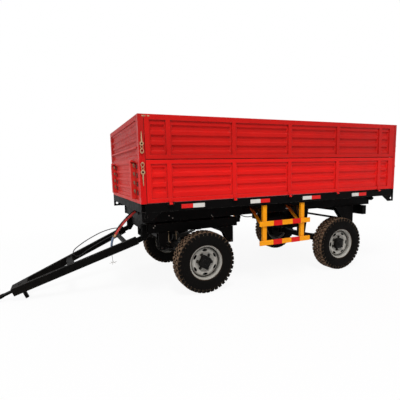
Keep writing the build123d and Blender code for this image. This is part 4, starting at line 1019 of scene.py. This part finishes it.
def add_rope_hooks():
    """Rope hooks on pads beside the headboard's channel posts."""
    hooks = Form()
    for post in (HEAD_POST_Y, -HEAD_POST_Y):
        for way in (1, -1):
            flank = post + way * HEAD_POST_HALF
            for height in ROPE_HOOK_HEIGHTS:
                path = [(x, flank + way * across, height + up) for x, across, up in ROPE_HOOK_PATH]
                hooks.bent_bar(path, ROPE_HOOK_RADIUS)
                hooks.box((1.2255, flank, height - 0.012), (1.245, flank + way * 0.0025, height + 0.024))
    hooks.finish("rope_hooks", "dull_zinc", "bed", sharp=40, soften=0.0006)


def add_headboard_rails():
    """Pointed caps of the headboard's posts and the ledge of its middle rail."""
    rails = Form()
    ledge = [(HEAD_FACE_X + out, z) for out, z in ((0, 1.835), (0.013, 1.838), (0.013, 1.847), (0, 1.866))]
    rails.bar(Y_AXIS, ledge, -HEAD_LEDGE_HALF, HEAD_LEDGE_HALF)
    peak = [(1.223, 1.69), (1.27, 1.69), (1.27, 1.712), (1.262, 1.72), (1.252, 1.718), (1.223, 1.702)]
    wide = HEAD_POST_HALF + 0.006
    half = [(wide, 1.262), (wide, 1.672), (0.012, 1.7)]
    for post in (HEAD_POST_Y, -HEAD_POST_Y):
        outline = [(post - y, z) for y, z in half] + [(post + y, z) for y, z in reversed(half)]
        rails.bar(Y_AXIS, peak, post - wide + 0.004, post + wide - 0.004)
        rails.bar(X_AXIS, outline, HEAD_POST_FACE_X - 0.001, HEAD_POST_FACE_X + 0.01)
    rails.finish("headboard_rails", "head_red", "bed", sharp=30, soften=0.0015)


def add_board_fittings():
    """Hinge knuckles with their pins below each rib, and bare weld spots on the top rail."""
    for side, label in ((1, "left"), (-1, "right")):
        hinges = Form()
        for rib in RIBS:
            for first, last, radius, steps, bevel in HINGE_RODS:
                ends = [(rib + x, side * HINGE_Y, HINGE_Z) for x in (first, last)]
                hinges.rod(*ends, radius, steps, bevel)
        hinges.finish(f"board_hinges_{label}", "red_paint", f"side_lower_{label}", sharp=30)
        spots = Form()
        face = Matrix(((1, 0, 0), (0, 0, side), (0, 1, 0))).to_4x4()
        for x, wide in WELD_SPOTS:
            blob = [
                (wide * math.cos(a) * (1 + 0.2 * math.sin(3 * a)), WELD_HALF_HEIGHT * math.sin(a))
                for a in angles(14)
            ]
            spots.prism(blob, at(x, side * WELD_FACE_Y, WELD_Z, face), 0, 0.0012)
        spots.finish(f"weld_spots_{label}", "zinc_plate", f"side_upper_{label}")


def add_split_lips():
    """Lip under the inner edge of each upper board, which closes most of the gap above the lower one."""
    for label, (node, body, shift) in SPLIT_LIPS.items():
        low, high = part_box(node)
        middle = (low + high) / 2
        half = (high - low) / 2
        along = X_AXIS if half.x > half.y else Y_AXIS
        reach = [LIP_HALF, LIP_HALF]
        reach[along] = half[along] - LIP_END_GAP
        lip = Form()
        lip.box(
            (middle.x - reach[0] - shift[0], middle.y - reach[1] - shift[1], low.z - 0.0065),
            (middle.x + reach[0] - shift[0], middle.y + reach[1] - shift[1], low.z + 0.001),
        )
        lip.finish(f"split_lip_{label}", "red_paint", body)


# ---- running gear
AXLES = {"bogie": 0.389, "chassis": -1.886}
SPRING_Y = 0.5725
U_BOLT_REACH = 0.052
U_BOLT_PATH = mm(            # across and up
    (-46, 345), (-46, 505), (-40, 520), (0, 523.5), (40, 520), (46, 505),
    (46, 345),
)
CLIP_REACH = 0.235
PIN_REACH = 0.5
PIN_FACE = 0.0555
PIN_Z = 0.6
FRAME_BOLTS = {
    "chassis": ((0.775, 1.006), (0.724, 0.973), (0.166, 0.966), (0.152, 0.948)),
    "bogie": ((0.965, 0.890), (0.984, 0.866)),
}
FRAME_FACE_Y = 0.6
HINGE_BOLT_PLACE = (1.093, 0.5, 0.73)
HANGING_Y = 0.608
HANGING_HOSE = ((0.791, 0.806), (0.792, 0.76), (0.794, 0.705), (0.788, 0.672), (0.77, 0.655))
CHAIN_LINKS = 7
CHAIN_PITCH = 0.0155
CHAIN_TOP = (0.687, 0.788)
BOGIE_TANK_PLACE = (0.735, 0.69)
BOGIE_TANK_RADIUS = 0.09
CHASSIS_TANK_PLACE = (0.44, 0.815)
CHASSIS_TANK_RADIUS = 0.105
STRAP_HALF_WIDTH = 0.015
STRAP_THICKNESS = 0.004
BRACE_STATIONS = (-0.438, -1.065)
BRACE_HALF_DEPTH = 0.013
BRACE_HALF_WIDTH = 0.0165
DOWN = Matrix.Rotation(math.pi, 4, "X")


def add_axle_fittings():
    """U-bolts over the springs with their plates and nuts, spring clips, and nuts of the spring pins."""
    for body, axle_x in AXLES.items():
        form = Form()
        for side in SIDES:
            y = side * SPRING_Y
            for x in (axle_x - U_BOLT_REACH, axle_x + U_BOLT_REACH):
                form.bent_bar([(x, y + across, z) for across, z in U_BOLT_PATH], 0.0075)
                for across in (-0.046, 0.046):
                    add_bolt(form, at(x, y + across, 0.3515, DOWN), 0.0125, 0.8)
            form.box((axle_x - 0.075, y - 0.062, 0.352), (axle_x + 0.075, y + 0.062, 0.3625))
            form.box((axle_x - 0.07, y - 0.04, 0.511), (axle_x + 0.07, y + 0.04, 0.518))
            for way in (1, -1):
                clip = axle_x + way * CLIP_REACH
                form.rod((clip, y - 0.047, 0.524), (clip, y + 0.047, 0.524), 0.005, 8)
                for face in (1, -1):
                    form.box((clip - 0.013, y + face * 0.038, 0.455), (clip + 0.013, y + face * 0.043, 0.53))
                    pin = at(axle_x + way * PIN_REACH, y + face * PIN_FACE, PIN_Z, outward(face))
                    add_bolt(form, pin, 0.0165, 0.7, 0.006)
        form.finish(f"{body}_axle_fittings", "spring_steel", body, soften=0.0008)


def add_tank(form, start, end, radius):
    """Air tank with dished ends and a drain plug below, between two points."""
    place, length = line(start, end)
    cap = ((0.45, 0.006), (0.78, 0.02), (0.95, 0.042), (1.0, 0.07))
    seam = ((1.0, 0.074), (1.012, 0.076), (1.012, 0.09), (1.0, 0.092))
    first = [(CORE, 0.0)] + [(share * radius, along) for share, along in cap + seam]
    last = [(r, length - along) for r, along in reversed(first)]
    form.turned(first + last, place, 40)
    x, y, z = (Vector(start) + Vector(end)) / 2
    form.rod((x, y, z - radius), (x, y, z - radius - 0.02), 0.01, 6)


def add_strap(form, centre, radius, axis, top):
    """Steel band around a tank, hung from a foot at height top."""
    centre = Vector(centre)
    half = Vector(axis) * STRAP_HALF_WIDTH
    out = Vector(axis).cross(Vector((0, 0, 1)))
    rings = []
    for a in angles(40):
        radial = out * math.cos(a) + Vector((0, 0, math.sin(a)))
        inner = centre + radial * radius
        outer = centre + radial * (radius + STRAP_THICKNESS)
        rings.append([inner - half, outer - half, outer + half, inner + half])
    form.loft(rings, closed=True)
    first = centre - half - out * 0.03
    last = centre + half + out * 0.03
    form.box((first.x, first.y, centre.z + radius - 0.004), (last.x, last.y, top))


def add_tanks():
    """Air tanks in their straps on the bogie and the chassis, and the plate on top of the bogie."""
    bogie = Form()
    x, z = BOGIE_TANK_PLACE
    add_tank(bogie, (x, -0.4, z), (x, 0.4, z), BOGIE_TANK_RADIUS)
    for y in (-0.22, 0.22):
        add_strap(bogie, (x, y, z), BOGIE_TANK_RADIUS, (0, 1, 0), 0.798)
    bogie.box((-0.205, -0.536, 0.7965), (1.04, 0.536, 0.8))
    bogie.finish("bogie_fittings", "black_paint", "bogie", soften=0.001)
    chassis = Form()
    y, z = CHASSIS_TANK_PLACE
    add_tank(chassis, (-0.68, y, z), (-1.16, y, z), CHASSIS_TANK_RADIUS)
    for x in (-0.8, -1.04):
        add_strap(chassis, (x, y, z), CHASSIS_TANK_RADIUS, (1, 0, 0), 0.945)
        chassis.box((x - 0.02, 0.4, 0.934), (x + 0.02, 0.56, 0.94))
    chassis.finish("chassis_fittings", "black_paint", "chassis", soften=0.001)


def add_relay_valve():
    """Cross tube of the chassis with the relay valve hung from it."""
    form = Form()
    form.rod((-0.71, -0.5445, 0.985), (-0.71, 0.5445, 0.985), 0.02, 24)
    form.box((-0.725, -0.222, 0.79), (-0.719, -0.178, 0.985))
    form.box((-0.719, -0.25, 0.76), (-0.655, -0.15, 0.84))
    can = mm((1, 0), (40, 0), (44, 4), (44, 50), (36, 58), (1, 58))
    form.turned(can, at(-0.687, -0.2, 0.76, DOWN), 32)
    form.finish("relay_valve", "black_paint", "chassis", soften=0.001)


def add_small_bolts():
    """Bright bolt heads on the frames, and the bolts of the drawbar's hinges."""
    for body, bolts in FRAME_BOLTS.items():
        form = Form()
        for side in SIDES:
            for x, z in bolts:
                add_bolt(form, at(x, side * FRAME_FACE_Y, z, outward(side)), 0.0072)
        form.finish(f"{body}_bolts", "bright_bolt", body, sharp=30)
    hinges = Form()
    x, y, z = HINGE_BOLT_PLACE
    for side in SIDES:
        add_bolt(hinges, at(x, side * y, z, outward(side)), 0.018, tail=0.004)
    hinges.finish("hinge_bolts", "dull_zinc", "drawbar", sharp=30, soften=0.0006)


def add_hanging_fittings():
    """Brake hose and chain that hang on each side of the bogie."""
    form = Form()
    top_x, top_z = CHAIN_TOP
    for side in SIDES:
        y = side * HANGING_Y
        form.bent_bar([(x, y, z) for x, z in HANGING_HOSE], 0.0065)
        for link in range(CHAIN_LINKS):
            middle = Vector((top_x, y, top_z - CHAIN_PITCH * link))
            wide = Vector((0.0058, 0, 0)) if link % 2 else Vector((0, 0.0058, 0))
            loop = [middle + share * wide + Vector((0, 0, up)) for share, up in ellipse(1, 0.0105, 14)]
            form.bent_bar(loop, 0.0021, 6, closed=True)
    form.finish("hanging_fittings", "dull_zinc", "bogie", sharp=50)


def add_valve_plate():
    """Bolted plate with the load valve's block on the chassis's left side."""
    plate = Form()
    plate.box((-1.33, 0.5, 0.67), (-1.075, 0.506, 0.94))
    plate.box((-1.3, 0.506, 0.73), (-1.215, 0.56, 0.85))
    for x in (-1.32, -1.085):
        for z in (0.685, 0.925):
            add_bolt(plate, at(x, 0.506, z, FACE_OUT), 0.008)
    plate.finish("valve_plate", "black_paint", "chassis", soften=0.001)


def add_guard_braces():
    """Slanting flat braces from the side guards up to the chassis."""
    braces = Form()
    for side in SIDES:
        for x in BRACE_STATIONS:
            foot, top = Vector((x, side * 0.95, 0.79)), Vector((x, side * 0.64, 1.03))
            across = (top - foot).normalized().cross(Vector((1, 0, 0))) * BRACE_HALF_DEPTH
            ring = [foot - across, foot + across, top + across, top - across]
            ends = [Vector((way * BRACE_HALF_WIDTH, 0, 0)) for way in (-1, 1)]
            braces.loft([[point + shift for point in ring] for shift in ends])
    braces.finish("guard_braces", "yellow_brace", "chassis", soften=0.001)


def add_pipes():
    """Short bright pipe on the left rail, and the brake pipe that sags under it."""
    pipes = Form()
    route = [(-1.06, 0.6065, 0.985), (-1.127, 0.608, 0.973), (-1.19, 0.606, 0.915), (-1.285, 0.604, 0.815)]
    pipes.bent_bar(route, 0.0085, 10)
    pipes.finish("hydraulic_pipe", "silver_paint", "chassis", sharp=40)
    sagging = Form()
    route = smooth([
        (-0.35, 0.45, 0.945), (-0.39, 0.455, 0.905), (-0.48, 0.468, 0.88), (-0.59, 0.484, 0.892),
        (-0.69, 0.498, 0.922), (-0.72, 0.502, 0.95),
    ])
    sagging.bent_bar(route, 0.0065)
    sagging.finish("brake_pipe", "spring_steel", "chassis", sharp=50)


add_camera()
finishes = make_finishes()
coat_nodes()
add_stage()
add_wheels()
add_cords()
add_latches()
add_tapes()
add_guard_bands()
add_rope_hooks()
add_headboard_rails()
add_board_fittings()
add_split_lips()
add_axle_fittings()
add_tanks()
add_relay_valve()
add_small_bolts()
add_hanging_fittings()
add_valve_plate()
add_guard_braces()
add_pipes()
